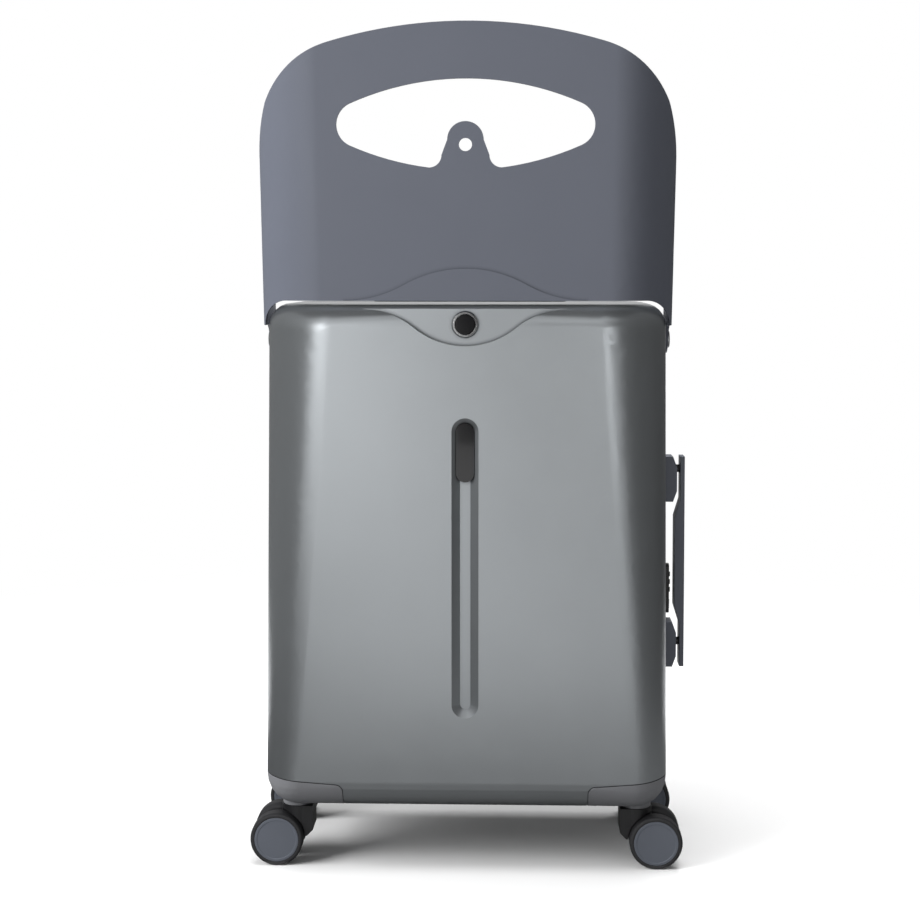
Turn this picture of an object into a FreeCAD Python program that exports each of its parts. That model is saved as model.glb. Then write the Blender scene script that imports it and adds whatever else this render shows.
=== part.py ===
"""Ride-on cabin suitcase: two moulded half shells, a fold-over backrest, a two-stage pull handle,
a spring-back side handle, a dial lock and four twin-wheel casters.

Millimetres. +X is the object's right side seen from the front, +Y points to the back, +Z is up.
The origin lies on the floor under the middle of the case.
"""
import FreeCAD
import Part
import Sketcher
import math
import os
from types import SimpleNamespace

from FreeCAD import Placement, Rotation, Vector

SIZES = {
    # Case: two half shells that meet at a zip seam
    "case_width": 394,
    "case_depth": 220,
    "case_top": 555,
    "case_floor": 62,
    "shell_wall": 3,
    "seam_margin": 1,
    "corner_top": 70,
    "corner_bottom": 33,
    "top_edge_radius": 22,
    "bottom_edge_radius": 30,
    "zip_half_width": 5,
    "zip_inset": 1,
    "zip_thickness": 2.6,
    "zip_gap": 0.8,
    "lining_thickness": 1,
    # Scooped finger recess and long groove moulded into the front shell
    "scoop_half_width": 98,
    "scoop_rise": 35,
    "scoop_drop": 40,
    "scoop_depth": 9,
    "groove_top": 446,
    "groove_bottom": 155,
    "groove_half_width": 13,
    "groove_floor_half_width": 5,
    "groove_depth": 6,
    "badge_width": 17.4,
    "badge_height": 57,
    "badge_thickness": 2.2,
    "badge_seat_depth": 4.6,
    "badge_top_margin": 5,
    # Corner caps with the caster stem bosses
    "cap_width": 77.5,
    "cap_length": 61,
    "cap_height": 26,
    "cap_side_rise": 6,
    "cap_corner_radius": 7,
    "cap_seam": 0.9,
    "stem_from_side": 29,
    "stem_from_face": 45,
    "stem_radius": 15,
    "stem_bottom": 57.5,
    "stem_root": 9,
    # Twin casters
    "pin_radius": 4,
    "pin_length": 24,
    "pin_head_radius": 6.5,
    "pin_head_height": 3,
    "fork_radius": 16,
    "fork_plate": 16.8,
    "fork_skirt_half_width": 15,
    "fork_skirt_low": 27,
    "fork_skirt_chamfer": 6,
    "fork_skirt_reach": 2,
    "fork_web": 12,
    "fork_boss_radius": 9,
    "trail": 19,
    "wheel_radius": 26,
    "wheel_width": 17,
    "wheel_shoulder": 5,
    "wheel_gap": 0.8,
    "fender_gap": 1.2,
    "hub_cap_radius": 21.8,
    "hub_cap_seat": 2.6,
    "hub_cap_dish": 0.3,
    "hub_cap_rim": 2.5,
    "axle_radius": 4,
    "axle_head_radius": 6.5,
    "axle_head_height": 1.6,
    # Backrest: one bent sheet that pivots on both side walls
    "rest_flare": 7.2,
    "rest_wall": 3,
    "rest_bend_radius": 66,
    "rest_setback": 14,
    "rest_top": 825,
    "rest_lift": 3,
    "rest_corner_radius": 105,
    "rest_corner_height": 705,
    "rest_corner_cosine_share": 0.88,
    "fold_gap": 7,
    "pivot_below_top": 38,
    "arm_radius": 14,
    "arm_throat_radius": 18,
    "wing_knee_height": 580,
    "wing_tip_height": 765,
    "wing_tip_depth": 21,
    "window_middle": 727,
    "window_half_height": 43.5,
    "window_half_width": 124,
    "window_end_radius": 22,
    "tab_tip_radius": 17.5,
    "tab_tip_drop": 14.6,
    "tab_flare_radius": 12,
    "tab_lean": 5.5,
    "tab_hole_radius": 6.3,
    "tab_hole_drop": 19.4,
    "rest_brow_half_width": 118,
    "rest_brow_height": 31,
    "rest_brow_relief": 1.6,
    "pivot_radius": 5,
    "pivot_head_radius": 9,
    "pivot_head_height": 2,
    "pivot_flange_radius": 12,
    "pivot_flange_height": 2.8,
    "pivot_boss_radius": 13,
    # Two-stage pull handle in its well
    "tube_across": 75,
    "tube_from_back": 40,
    "tube_width": 26,
    "tube_depth": 16,
    "tube_corner": 5,
    "tube_wall": 1.2,
    "tube_play": 0.3,
    "tube_foot_height": 14,
    "tube_foot_socket": 9,
    "tube_foot_margin": 1,
    "stage_step": 14,
    "well_half_length": 98,
    "well_from_back": 23.5,
    "well_width": 43.5,
    "well_depth": 38,
    "well_wall": 2.5,
    "well_corner": 9,
    "well_lip": 3,
    "well_lip_height": 0.8,
    "collar_margin": 3,
    "collar_height": 5,
    "grip_half_length": 91,
    "grip_width": 22,
    "grip_height": 26,
    "grip_round": 7,
    "grip_below_top": 0.6,
    "grip_channel_width": 9,
    "grip_channel_height": 11,
    "grip_socket": 7,
    "button_half_length": 19,
    "button_width": 11,
    "button_proud": 0.4,
    "rod_radius": 2,
    "bridge_height": 4,
    "bridge_width": 6,
    # Side handle on the right wall
    "side_low": 182,
    "side_high": 398,
    "side_middle": 2,
    "side_bar_width": 20,
    "side_bar_end": 4.5,
    "side_bar_middle": 10,
    "side_bar_neck": 44,
    "side_bar_slope": 18,
    "side_bar_reach": 24,
    "socket_length": 46,
    "socket_width": 24,
    "socket_reach": 16,
    "socket_slope": 4,
    "socket_slope_length": 11,
    "socket_root_radius": 10,
    "socket_root_depth": 12,
    "socket_pocket_radius": 7,
    "socket_front_wall": 2,
    "post_inset": 13,
    "lower_post_rise": 24.5,
    "post_radius": 4,
    "post_flange_radius": 6.4,
    "post_flange_height": 2,
    "side_pull": 16,
    "spring_wall": 1.6,
    # Dial lock beside the zip
    "lock_low": 233,
    "lock_high": 284,
    "lock_margin": 3,
    "lock_width": 13,
    "lock_height": 10.5,
    "lock_corner": 4,
    "dial_radius": 4.2,
    "dial_centre_height": 7.9,
    "dial_thickness": 5,
    "dial_pitch": 8,
    "dial_from_top": 11,
    "dial_bore_radius": 1.3,
    "dial_room": 0.4,
    "slider_length": 9,
    "slider_width": 8,
    "slider_height": 2,
    "slider_sink": 1.6,
    "slider_travel": 5,
    "slider_from_bottom": 5,
    # Zip sliders parked at the lock, and the cloth hinge on the other side
    "puller_length": 9,
    "puller_width": 8,
    "puller_height": 3.6,
    "puller_pitch": 26,
    "puller_tab": 14,
    "puller_tab_width": 5,
    "puller_tab_thickness": 1.6,
    "hinge_low": 117,
    "hinge_high": 505,
    "hinge_width": 12,
    "hinge_thickness": 1,
    # Round push button in the scoop
    "push_radius": 9.8,
    "push_length": 6.4,
    "push_crown": 0.6,
    "push_travel": 3,
    "push_below_top": 19.5,
    "bezel_radius": 13,
    "bezel_height": 2.2,
    "bezel_wall": 1.2,
    "bezel_depth": 13,
    "push_spring_radius": 7,
    # Fits shared by the whole assembly
    "press_gap": 0.05,
    "running_gap": 0.1,
    "clearance": 0.3,
    "overrun": 4,
}

SIDES = {"left": -1, "right": 1}
HALVES = {"front": -1, "rear": 1}
DIAL_COUNT = 3
RIM_COUNT = 6
SAME_PLACE = 1e-6
RIM_ANGLES = [math.pi / 2 * step / RIM_COUNT for step in range(RIM_COUNT + 1)]
RIM_STEPS = [(math.sin(angle), 1 - math.cos(angle)) for angle in RIM_ANGLES]
AXIS_TURNS = {
    "x": Rotation(Vector(0, 1, 0), 90),
    "y": Rotation(Vector(1, 0, 0), -90),
    "z": Rotation(),
}


def parts_of(item):
    """Give the number and the formula text of a Size or of a plain number."""
    if isinstance(item, Size):
        return item.value, item.text
    return float(item), repr(item)


class Size:
    """A length that keeps its number for drawing and its sheet formula for binding."""

    def __init__(self, value, text):
        self.value = value
        self.text = text

    def __add__(self, other):
        value, text = parts_of(other)
        return Size(self.value + value, f"({self.text} + {text})")

    def __radd__(self, other):
        return self + other

    def __sub__(self, other):
        value, text = parts_of(other)
        return Size(self.value - value, f"({self.text} - {text})")

    def __rsub__(self, other):
        return -self + other

    def __mul__(self, other):
        value, text = parts_of(other)
        return Size(self.value * value, f"({self.text} * {text})")

    def __rmul__(self, other):
        return self * other

    def __truediv__(self, other):
        value, text = parts_of(other)
        return Size(self.value / value, f"({self.text} / {text})")

    def __neg__(self):
        return Size(-self.value, f"(0 - {self.text})")

    def root(self):
        """Square root, for points where arcs meet."""
        return Size(math.sqrt(self.value), f"sqrt({self.text})")


doc = FreeCAD.newDocument("ride_on_suitcase")
nodes = []


def make_sheet():
    """Write the driving sizes into the sheet and give them back as bound sizes."""
    sheet = doc.addObject("Spreadsheet::Sheet", "sizes")
    for row, (name, value) in enumerate(SIZES.items(), start=1):
        sheet.set(f"A{row}", name)
        sheet.set(f"B{row}", str(value))
        sheet.setAlias(f"B{row}", name)
    doc.recompute()
    return SimpleNamespace(**{name: Size(float(sheet.get(name)), f"sizes.{name}") for name in SIZES})


def bind(item, path, size):
    """Tie one property of a document object to the sheet."""
    item.setExpression(path, parts_of(size)[1])


def place(item, x, y, z):
    """Tie an object's position to the sheet."""
    for axis, size in zip("xyz", (x, y, z)):
        bind(item, f"Placement.Base.{axis}", size)
    return item


def node(item, name):
    """Name a finished sub-part and keep it for export."""
    item.Label = name
    nodes.append(item)
    return item


def box(name, xs, ys, zs):
    """Make a block from its low and high limits along each axis."""
    item = doc.addObject("Part::Box", name)
    for prop, (low, high) in zip(("Length", "Width", "Height"), (xs, ys, zs)):
        bind(item, prop, high - low)
    return place(item, xs[0], ys[0], zs[0])


def cylinder(name, axis, start, radius, length):
    """Make a cylinder that leaves its start point along +X, +Y or +Z."""
    item = doc.addObject("Part::Cylinder", name)
    item.Placement = Placement(Vector(), AXIS_TURNS[axis])
    bind(item, "Radius", radius)
    bind(item, "Height", length)
    return place(item, *start)


def joined(kind, name, items):
    """Combine shapes with a boolean that takes a list."""
    item = doc.addObject(kind, name)
    item.Shapes = list(items)
    return item


def fuse(name, *items):
    """Join shapes into one."""
    return joined("Part::MultiFuse", name, items)


def common(name, *items):
    """Keep what all the shapes share."""
    return joined("Part::MultiCommon", name, items)


def cut(name, base, *tools):
    """Take the tools away from the base."""
    item = doc.addObject("Part::Cut", name)
    item.Base = base
    item.Tool = tools[0] if len(tools) == 1 else fuse(f"{name}_cutters", *tools)
    return item


def group(name, *items):
    """Hold separate solids of one kind in one sub-part."""
    item = doc.addObject("Part::Compound", name)
    item.Links = list(items)
    return item


def sketch(body, name, plane, offset=0):
    """Add a sketch on one of the body's own origin planes, moved along the plane's normal."""
    support = next(f for f in body.Origin.OriginFeatures if f.Role == plane)
    drawing = body.newObject("Sketcher::SketchObject", name)
    drawing.AttachmentSupport = [(support, "")]
    drawing.MapMode = "FlatFace"
    bind(drawing, "AttachmentOffset.Base.z", offset)
    return drawing


def pin_point(drawing, geo, end, x, y):
    """Tie one sketch point to its two sizes."""
    for kind, size, axis in (("DistanceX", x, -2), ("DistanceY", y, -1)):
        value, text = parts_of(size)
        if not isinstance(size, Size):
            drawing.addConstraint(Sketcher.Constraint("PointOnObject", geo, end, axis))
            continue
        index = drawing.addConstraint(Sketcher.Constraint(kind, -1, 1, geo, end, value))
        drawing.setExpression(f"Constraints[{index}]", text)


def circle(drawing, x, y, radius):
    """Draw a circle tied to its centre and radius."""
    centre = Vector(parts_of(x)[0], parts_of(y)[0], 0)
    geo = drawing.addGeometry(Part.Circle(centre, Vector(0, 0, 1), radius.value), False)
    pin_point(drawing, geo, 3, x, y)
    index = drawing.addConstraint(Sketcher.Constraint("Radius", geo, radius.value))
    drawing.setExpression(f"Constraints[{index}]", radius.text)


def arc_between(start, end, radius, left):
    """Give the short arc from start to end whose centre is left or right of the way."""
    chord = end - start
    half = chord.Length / 2
    rise = math.sqrt(max(radius * radius - half * half, 0))
    normal = Vector(-chord.y, chord.x, 0).normalize()
    centre = (start + end) * 0.5 + normal * (rise if left else -rise)
    around = Part.Circle(centre, Vector(0, 0, 1), radius)
    first, last = (start, end) if left else (end, start)
    return Part.ArcOfCircle(around, around.parameter(first), around.parameter(last))


def outline(drawing, points):
    """Draw a closed outline through bound points.

    A point is (x, y), or (x, y, radius, left) where an arc of that radius runs to the next point
    with its centre left or right of the way.
    """
    ends = []
    for this, following in zip(points, points[1:] + points[:1]):
        start, end = (Vector(parts_of(p[0])[0], parts_of(p[1])[0], 0) for p in (this, following))
        curved = len(this) > 2
        if curved:
            shape = arc_between(start, end, this[2].value, this[3])
        else:
            shape = Part.LineSegment(start, end)
        geo = drawing.addGeometry(shape, False)
        backwards = curved and not this[3]
        ends.append((geo, 2, 1) if backwards else (geo, 1, 2))
    for this, following in zip(ends, ends[1:] + ends[:1]):
        drawing.addConstraint(Sketcher.Constraint("Coincident", this[0], this[2], following[0], following[1]))
    for (geo, start, _), point in zip(ends, points):
        pin_point(drawing, geo, start, point[0], point[1])
        if len(point) > 2:
            index = drawing.addConstraint(Sketcher.Constraint("Radius", geo, point[2].value))
            drawing.setExpression(f"Constraints[{index}]", point[2].text)


def rounded(x, y, width, height, radius):
    """Points of a rounded rectangle about a middle point."""
    left, right, low, high = x - width / 2, x + width / 2, y - height / 2, y + height / 2
    return [
        (left + radius, low),
        (right - radius, low, radius, True),
        (right, low + radius),
        (right, high - radius, radius, True),
        (right - radius, high),
        (left + radius, high, radius, True),
        (left, high - radius),
        (left, low + radius, radius, True),
    ]


def mirrored(points, side):
    """Turn an outline drawn for the right side into that of the named side."""
    if side > 0:
        return points
    flipped = []
    for index in range(len(points) - 1, -1, -1):
        x, y = points[index][:2]
        before = points[index - 1]
        flipped.append((-x, y, *before[2:]))
    return flipped


def prism(name, plane, outlines, low, high):
    """Pad outlines from low to high along the plane's axis; inner outlines are holes."""
    body = doc.addObject("PartDesign::Body", name)
    drawing = sketch(body, f"{name}_outline", plane, -high if plane == "XZ_Plane" else low)
    for points in outlines:
        if isinstance(points, tuple):
            circle(drawing, *points)
        else:
            outline(drawing, points)
    pad = body.newObject("PartDesign::Pad", f"{name}_pad")
    pad.Profile = drawing
    bind(pad, "Length", high - low)
    body.Tip = pad
    return body


def turned(name, plane, axis, points):
    """Turn an outline a full circle about the sketch's own axis."""
    body = doc.addObject("PartDesign::Body", name)
    drawing = sketch(body, f"{name}_profile", plane)
    outline(drawing, points)
    turn = body.newObject("PartDesign::Revolution", f"{name}_turn")
    turn.Profile = drawing
    turn.ReferenceAxis = (drawing, [axis])
    turn.Angle = 360
    body.Tip = turn
    return body


def lofted(name, plane, sections):
    """Loft straight between outlines at two heights along the plane's axis."""
    body = doc.addObject("PartDesign::Body", name)
    drawings = []
    for index, (height, points) in enumerate(sections):
        offset = -height if plane == "XZ_Plane" else height
        drawings.append(sketch(body, f"{name}_section_{index}", plane, offset))
        outline(drawings[-1], points)
    loft = body.newObject("PartDesign::AdditiveLoft", f"{name}_loft")
    loft.Profile = drawings[0]
    loft.Sections = drawings[1:]
    loft.Ruled = True
    body.Tip = loft
    return body


def round_edges(body, radius, chosen):
    """Fillet the tip's edges that a test picks."""
    doc.recompute()
    base = body.Tip
    edges = [f"Edge{i}" for i, edge in enumerate(base.Shape.Edges, start=1) if chosen(edge)]
    fillet = body.newObject("PartDesign::Fillet", f"{body.Name}_round")
    fillet.Base = (base, edges)
    bind(fillet, "Radius", radius)
    body.Tip = fillet
    return body


def lies_at(axis, size):
    """Test for edges that lie wholly in the plane where an axis has the given size."""
    return lambda edge: all(abs(getattr(v.Point, axis) - size.value) < SAME_PLACE for v in edge.Vertexes)


d = make_sheet()
half_width = d.case_width / 2
half_depth = d.case_depth / 2
pivot_y = (d.rest_setback + d.rest_wall + d.fold_gap) / 2
pivot_z = d.case_top - d.pivot_below_top
seam = pivot_y + d.pivot_boss_radius + d.seam_margin + d.zip_half_width
stem_x = half_width - d.stem_from_side
tube_y = half_depth - d.tube_from_back
well_back = half_depth - d.well_from_back
well_front = well_back - d.well_width
side_wall_face = half_width
front_face = -half_depth
scoop_floor = front_face + d.scoop_depth
push_z = d.case_top - d.push_below_top
barrel_radius = d.push_radius + d.clearance + d.bezel_wall
badge_top = d.groove_top - d.badge_top_margin
badge_seat = front_face + d.badge_seat_depth
fork_top = d.stem_bottom - d.clearance
pin_bottom = fork_top - d.fork_plate - d.clearance - d.pin_head_height
rest_face = front_face + d.rest_setback
rest_low = d.case_top + d.rest_lift
shoulder_low = d.case_top - d.top_edge_radius
rest_half_low = half_width + d.rest_lift + d.clearance + d.rest_wall
rest_half_high = rest_half_low + d.rest_flare
wing_end = pivot_y + d.arm_radius + d.overrun
well_floor = d.case_top - d.well_depth
grip_high = d.case_top - d.grip_below_top
grip_low = grip_high - d.grip_height
channel_floor = grip_low + d.grip_socket
channel_top = channel_floor + d.grip_channel_height
post_heights = (d.side_high - d.post_inset, d.side_low + d.lower_post_rise)
lock_back = seam - d.zip_half_width - d.lock_margin


def case_block(name, half, inset):
    """Solid inside one half of the case, drawn in by an inset from its outer skin.

    The upright corners widen from the floor to the top, which gives the case its cone-shaped
    shoulders. The rims are rounded in steps of a quarter turn. The block ends flat at the seam.
    """
    wide = half_width - inset
    end = half_depth - inset
    low, high = d.case_floor + inset, d.case_top - inset
    corner_low, corner_high = d.corner_bottom, d.corner_top
    bottom, top = d.bottom_edge_radius - inset, d.top_edge_radius - inset
    levels = []
    for sine, draw in reversed(RIM_STEPS):
        levels.append((low + bottom - bottom * sine, bottom * draw))
    for sine, draw in RIM_STEPS:
        levels.append((high - top + top * sine, top * draw))
    sections = []
    for height, draw in levels:
        grown = (corner_high - corner_low) * (height - low) / (high - low)
        bend = corner_low + grown - inset - draw
        side, face = half * (wide - draw), half * (end - draw)
        sections.append((height, [
            (side, seam),
            (side, face - half * bend, bend, True),
            (side - half * bend, face),
            (half * bend - side, face, bend, True),
            (-side, face - half * bend),
            (-side, seam),
        ]))
    return lofted(name, "XY_Plane", sections)


def seam_slab(name, half, start, end):
    """Block across the whole case between two distances from the seam, for slicing."""
    ys = sorted((seam + half * start, seam + half * end), key=lambda size: size.value)
    wide = half_width + d.overrun
    return box(name, (-wide, wide), ys, (0 * d.overrun, d.case_top + d.overrun))


def cap_region(name, side, half, grow):
    """Corner of the case that a cap covers, grown by the seam round it for cutting the shell."""
    inner = half_width - d.cap_width - grow
    top = d.case_floor + d.cap_height + grow
    outer = half_width + d.overrun
    bend = d.cap_corner_radius
    points = [
        (inner, 0),
        (outer, 0),
        (outer, top + d.cap_side_rise),
        (inner + bend, top, bend, True),
        (inner, top - bend),
    ]
    near = half * (half_depth - d.cap_length - grow)
    far = half * (half_depth + d.overrun)
    low, high = sorted((near, far), key=lambda size: size.value)
    return prism(name, "XZ_Plane", [mirrored(points, side)], low, high)


def stem_place(side, half):
    """Plan position of a caster's upright axis."""
    return side * stem_x, half * (half_depth - d.stem_from_face)


def corner_cap(name, side, half, skin):
    """Corner cap cut from the shell's own skin, with the boss that carries the caster pin."""
    x, y = stem_place(side, half)
    height = d.case_floor + d.stem_root - d.stem_bottom
    corner = common(f"{name}_corner", skin, cap_region(f"{name}_area", side, half, 0 * d.press_gap))
    boss = cylinder(f"{name}_boss", "z", (x, y, d.stem_bottom), d.stem_radius, height)
    bore_start = d.stem_bottom - d.overrun
    bore_end = pin_bottom + d.pin_head_height + d.pin_length + d.press_gap
    bore = cylinder(f"{name}_bore", "z", (x, y, bore_start), d.pin_radius + d.press_gap,
                    bore_end - bore_start)
    return cut(name, fuse(f"{name}_body", corner, boss), bore)


def stem_rooms(half):
    """Room that the stem bosses take from the cloth lining."""
    rooms = []
    for word, side in SIDES.items():
        x, y = stem_place(side, half)
        name = f"stem_room_{word}_{'front' if half < 0 else 'rear'}"
        start = (x, y, d.case_floor)
        rooms.append(cylinder(name, "z", start, d.stem_radius + d.clearance, d.stem_root + d.clearance))
    return rooms


def cap_seams(half, under):
    """Shadow lines round the caps, as deep as the block under the skin lies."""
    word = "front" if half < 0 else "rear"
    rims = {name: cap_region(f"{word}_cap_rim_{name}", side, half, d.cap_seam) for name, side in SIDES.items()}
    return [cut(f"{word}_cap_seam_{name}", rim, under) for name, rim in rims.items()]


def zip_tape(name, half, outer):
    """Zip tape that closes one half's rim, a little below the skin."""
    inner = case_block(f"{name}_inner", half, d.zip_inset + d.zip_thickness)
    ring = cut(f"{name}_ring", outer, inner)
    return common(name, ring, seam_slab(f"{name}_slab", half, d.zip_gap / 2, d.zip_half_width))


def bell(half, base, height, upwards):
    """Points of a bell curve from +X to -X: flat at both ends, round at its peak or dip."""
    radius = (half * half + height * height) / (height * 4)
    middle = base + height / 2 if upwards else base - height / 2
    return [
        (half, base, radius, not upwards),
        (half / 2, middle, radius, upwards),
        (-half / 2, middle, radius, not upwards),
        (-half, base),
    ]


def scoop_outline(grow):
    """Smile-shaped mouth of the finger recess, closed above the case."""
    wide = d.scoop_half_width + grow
    top = d.case_top + d.overrun
    base = d.case_top - d.scoop_drop + d.scoop_rise - grow
    return [*bell(wide, base, d.scoop_rise, False), (-wide, top), (wide, top)]


def upright_slot(top, bottom, radius):
    """Stadium outline that stands on end about the middle of the case."""
    return [
        (radius, bottom + radius),
        (radius, top - radius, radius, True),
        (0, top, radius, True),
        (-radius, top - radius),
        (-radius, bottom + radius, radius, True),
        (0, bottom, radius, True),
    ]


def groove_tool():
    """Long tapering groove, wide at the face and narrow at its floor."""
    slope = (d.groove_half_width - d.groove_floor_half_width) / d.groove_depth
    outside = front_face - d.overrun
    wide = d.groove_half_width + d.overrun * slope
    narrowing = d.groove_half_width - d.groove_floor_half_width
    spread = d.overrun * slope
    return lofted("groove_tool", "XZ_Plane", [
        (outside, upright_slot(d.groove_top + spread, d.groove_bottom - spread, wide)),
        (front_face + d.groove_depth, upright_slot(
            d.groove_top - narrowing, d.groove_bottom + narrowing, d.groove_floor_half_width)),
    ])


def front_half():
    """Front shell with its scoop, groove, pivot bosses and holes, its caps, zip tape and lining."""
    outer = case_block("front_outer", -1, 0 * d.shell_wall)
    under = case_block("front_under", -1, d.zip_inset)
    inner = case_block("front_inner", -1, d.shell_wall)
    skin = cut("front_skin", outer, inner)
    scoop_back = prism("scoop_back", "XZ_Plane", [scoop_outline(d.shell_wall)], front_face,
                       scoop_floor + d.shell_wall)
    groove_back = prism("groove_back", "XZ_Plane",
                        [upright_slot(d.groove_top + d.shell_wall, d.groove_bottom - d.shell_wall,
                                      d.groove_half_width + d.shell_wall)],
                        front_face, front_face + d.groove_depth + d.shell_wall)
    scoop = prism("scoop_tool", "XZ_Plane", [scoop_outline(0 * d.shell_wall)],
                  front_face - d.overrun, scoop_floor)
    badge_slot = upright_slot(badge_top, badge_top - d.badge_height, d.badge_width / 2)
    seat_slot = upright_slot(badge_top + d.press_gap, badge_top - d.badge_height - d.press_gap,
                             d.badge_width / 2 + d.press_gap)
    seat = prism("badge_seat", "XZ_Plane", [seat_slot], front_face - d.overrun, badge_seat)
    hole = cylinder("push_hole", "y", (0, front_face, push_z), barrel_radius + d.press_gap,
                    d.scoop_depth + d.shell_wall + d.overrun)
    regions = [cap_region(f"front_cap_cut_{word}", side, -1, d.press_gap) for word, side in SIDES.items()]
    slab = seam_slab("front_rim_slab", -1, -d.overrun, d.zip_half_width)
    wall_start = half_width - d.shell_wall - d.overrun
    wall_reach = d.shell_wall + d.overrun * 2
    pivots, bosses, lining_rooms = [], [], []
    for word, side in SIDES.items():
        inside = wall_start if side > 0 else -(wall_start + wall_reach)
        radius = d.pivot_radius + d.press_gap
        pivots.append(cylinder(f"pivot_hole_{word}", "x", (inside, pivot_y, pivot_z), radius, wall_reach))
        boss_height = rest_inner_half(pivot_z - d.pivot_boss_radius) - d.clearance - half_width
        boss_start = half_width if side > 0 else -(half_width + boss_height)
        bosses.append(cylinder(f"pivot_boss_{word}", "x", (boss_start, pivot_y, pivot_z), d.pivot_boss_radius,
                               boss_height))
        room_radius = d.pivot_flange_radius + d.clearance
        lining_rooms.append(cylinder(f"pivot_room_{word}", "x", (inside - d.overrun, pivot_y, pivot_z),
                                     room_radius, wall_reach + d.overrun * 2))
    roots = [cylinder(f"socket_hole_{index}", "x", (wall_start, d.side_middle, z),
                      d.socket_root_radius + d.press_gap, wall_reach) for index, z in enumerate(post_heights)]
    backed = fuse("front_backed", skin, common("scoop_backing", outer, scoop_back),
                  common("groove_backing", outer, groove_back), *bosses)
    node(cut("front_shell", backed, scoop, groove_tool(), seat, hole, slab, *pivots, *roots, *regions,
             *cap_seams(-1, under)), "front_shell")
    caps = [corner_cap(f"front_cap_{word}", side, -1, skin) for word, side in SIDES.items()]
    node(group("front_corner_caps", *caps), "front_corner_caps")
    node(zip_tape("front_zip_tape", -1, under), "front_zip_tape")
    node(prism("badge_plate", "XZ_Plane", [badge_slot], badge_seat - d.badge_thickness, badge_seat),
         "badge_plate")
    start = d.shell_wall + d.press_gap
    cloth = cut("front_cloth", case_block("front_lining_outer", -1, start),
                case_block("front_lining_inner", -1, start + d.lining_thickness))
    margin = d.shell_wall + d.clearance
    scoop_room = prism("scoop_room", "XZ_Plane", [scoop_outline(margin)], front_face,
                       scoop_floor + margin)
    groove_room = prism("groove_room", "XZ_Plane",
                        [upright_slot(d.groove_top + margin, d.groove_bottom - margin,
                                      d.groove_half_width + margin)],
                        front_face, front_face + d.groove_depth + margin)
    room_start = wall_start - d.socket_root_depth
    socket_rooms = [cylinder(f"socket_room_{index}", "x", (room_start, d.side_middle, z),
                             d.socket_root_radius + d.clearance, wall_reach + d.socket_root_depth)
                    for index, z in enumerate(post_heights)]
    rim_slab = seam_slab("front_lining_slab", -1, -d.overrun, d.zip_half_width)
    node(cut("front_lining", cloth, scoop_room, groove_room, rim_slab, *lining_rooms, *socket_rooms,
             *stem_rooms(-1)), "front_lining")


def push_button():
    """Round push button with its bright bezel cup and return spring."""
    face = scoop_floor - d.bezel_height
    bore = d.push_radius + d.clearance
    back = scoop_floor + d.bezel_depth
    bezel = turned("button_bezel", "XY_Plane", "V_Axis", [
        (bore, face),
        (d.bezel_radius - d.bezel_height / 2, face),
        (d.bezel_radius, face + d.bezel_height / 2),
        (d.bezel_radius, scoop_floor),
        (barrel_radius, scoop_floor),
        (barrel_radius, back),
        (0, back),
        (0, back - d.bezel_wall),
        (bore, back - d.bezel_wall),
    ])
    front = face + d.push_crown
    rear = front + d.push_length
    button = turned("release_button", "XY_Plane", "V_Axis", [
        (0, front - d.push_crown),
        (d.push_radius - d.push_crown, front - d.push_crown),
        (d.push_radius, front),
        (d.push_radius, rear),
        (0, rear),
    ])
    spring_end = back - d.bezel_wall
    spring_start = rear + d.push_travel + d.clearance
    spring = turned("button_spring", "XY_Plane", "V_Axis", [
        (d.push_spring_radius - d.spring_wall, spring_start),
        (d.push_spring_radius, spring_start),
        (d.push_spring_radius, spring_end),
        (d.push_spring_radius - d.spring_wall, spring_end),
    ])
    for item in (bezel, button, spring):
        node(place(item, 0, 0, push_z), item.Name)


def rear_half():
    """Rear shell with the mouth of the handle well, its caps, zip tape, lining and cloth hinge."""
    outer = case_block("rear_outer", 1, 0 * d.shell_wall)
    under = case_block("rear_under", 1, d.zip_inset)
    inner = case_block("rear_inner", 1, d.shell_wall)
    skin = cut("rear_skin", outer, inner)
    regions = [cap_region(f"rear_cap_cut_{word}", side, 1, d.press_gap) for word, side in SIDES.items()]
    slab = seam_slab("rear_rim_slab", 1, -d.overrun, d.zip_half_width)
    mouth = prism("well_mouth", "XY_Plane", [well_outline(d.press_gap)], d.case_top - d.well_depth,
                  d.case_top + d.overrun)
    node(cut("rear_shell", skin, slab, mouth, *regions, *cap_seams(1, under)), "rear_shell")
    caps = [corner_cap(f"rear_cap_{word}", side, 1, skin) for word, side in SIDES.items()]
    node(group("rear_corner_caps", *caps), "rear_corner_caps")
    node(zip_tape("rear_zip_tape", 1, under), "rear_zip_tape")
    start = d.shell_wall + d.press_gap
    reach = tube_y - d.tube_depth / 2 - d.tube_foot_margin - d.clearance - seam
    outside = common("rear_cloth_outside", case_block("rear_lining_outer", 1, start),
                     seam_slab("rear_cloth_slab", 1, -d.overrun, reach))
    inside = common("rear_cloth_inside", case_block("rear_lining_inner", 1, start + d.lining_thickness),
                    seam_slab("rear_hollow_slab", 1, -d.overrun, reach - d.lining_thickness))
    cloth = cut("rear_cloth", outside, inside)
    well_room = prism("well_room", "XY_Plane", [well_outline(d.clearance)],
                      d.case_top - d.well_depth - d.clearance, d.case_top)
    rim_slab = seam_slab("rear_lining_slab", 1, -d.overrun, d.zip_half_width)
    node(cut("rear_lining", cloth, well_room, rim_slab, *stem_rooms(1)), "rear_lining")
    hinge_start = seam + d.zip_gap / 2
    node(box("hinge_tape", (-half_width - d.hinge_thickness, -half_width),
             (hinge_start, hinge_start + d.hinge_width), (d.hinge_low, d.hinge_high)), "hinge_tape")


def rest_half(height):
    """Outer half width of the flaring backrest at a height."""
    low = pivot_z - d.arm_radius - d.overrun
    high = d.rest_top + d.overrun
    return rest_half_low + d.rest_flare * (height - low) / (high - low)


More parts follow.
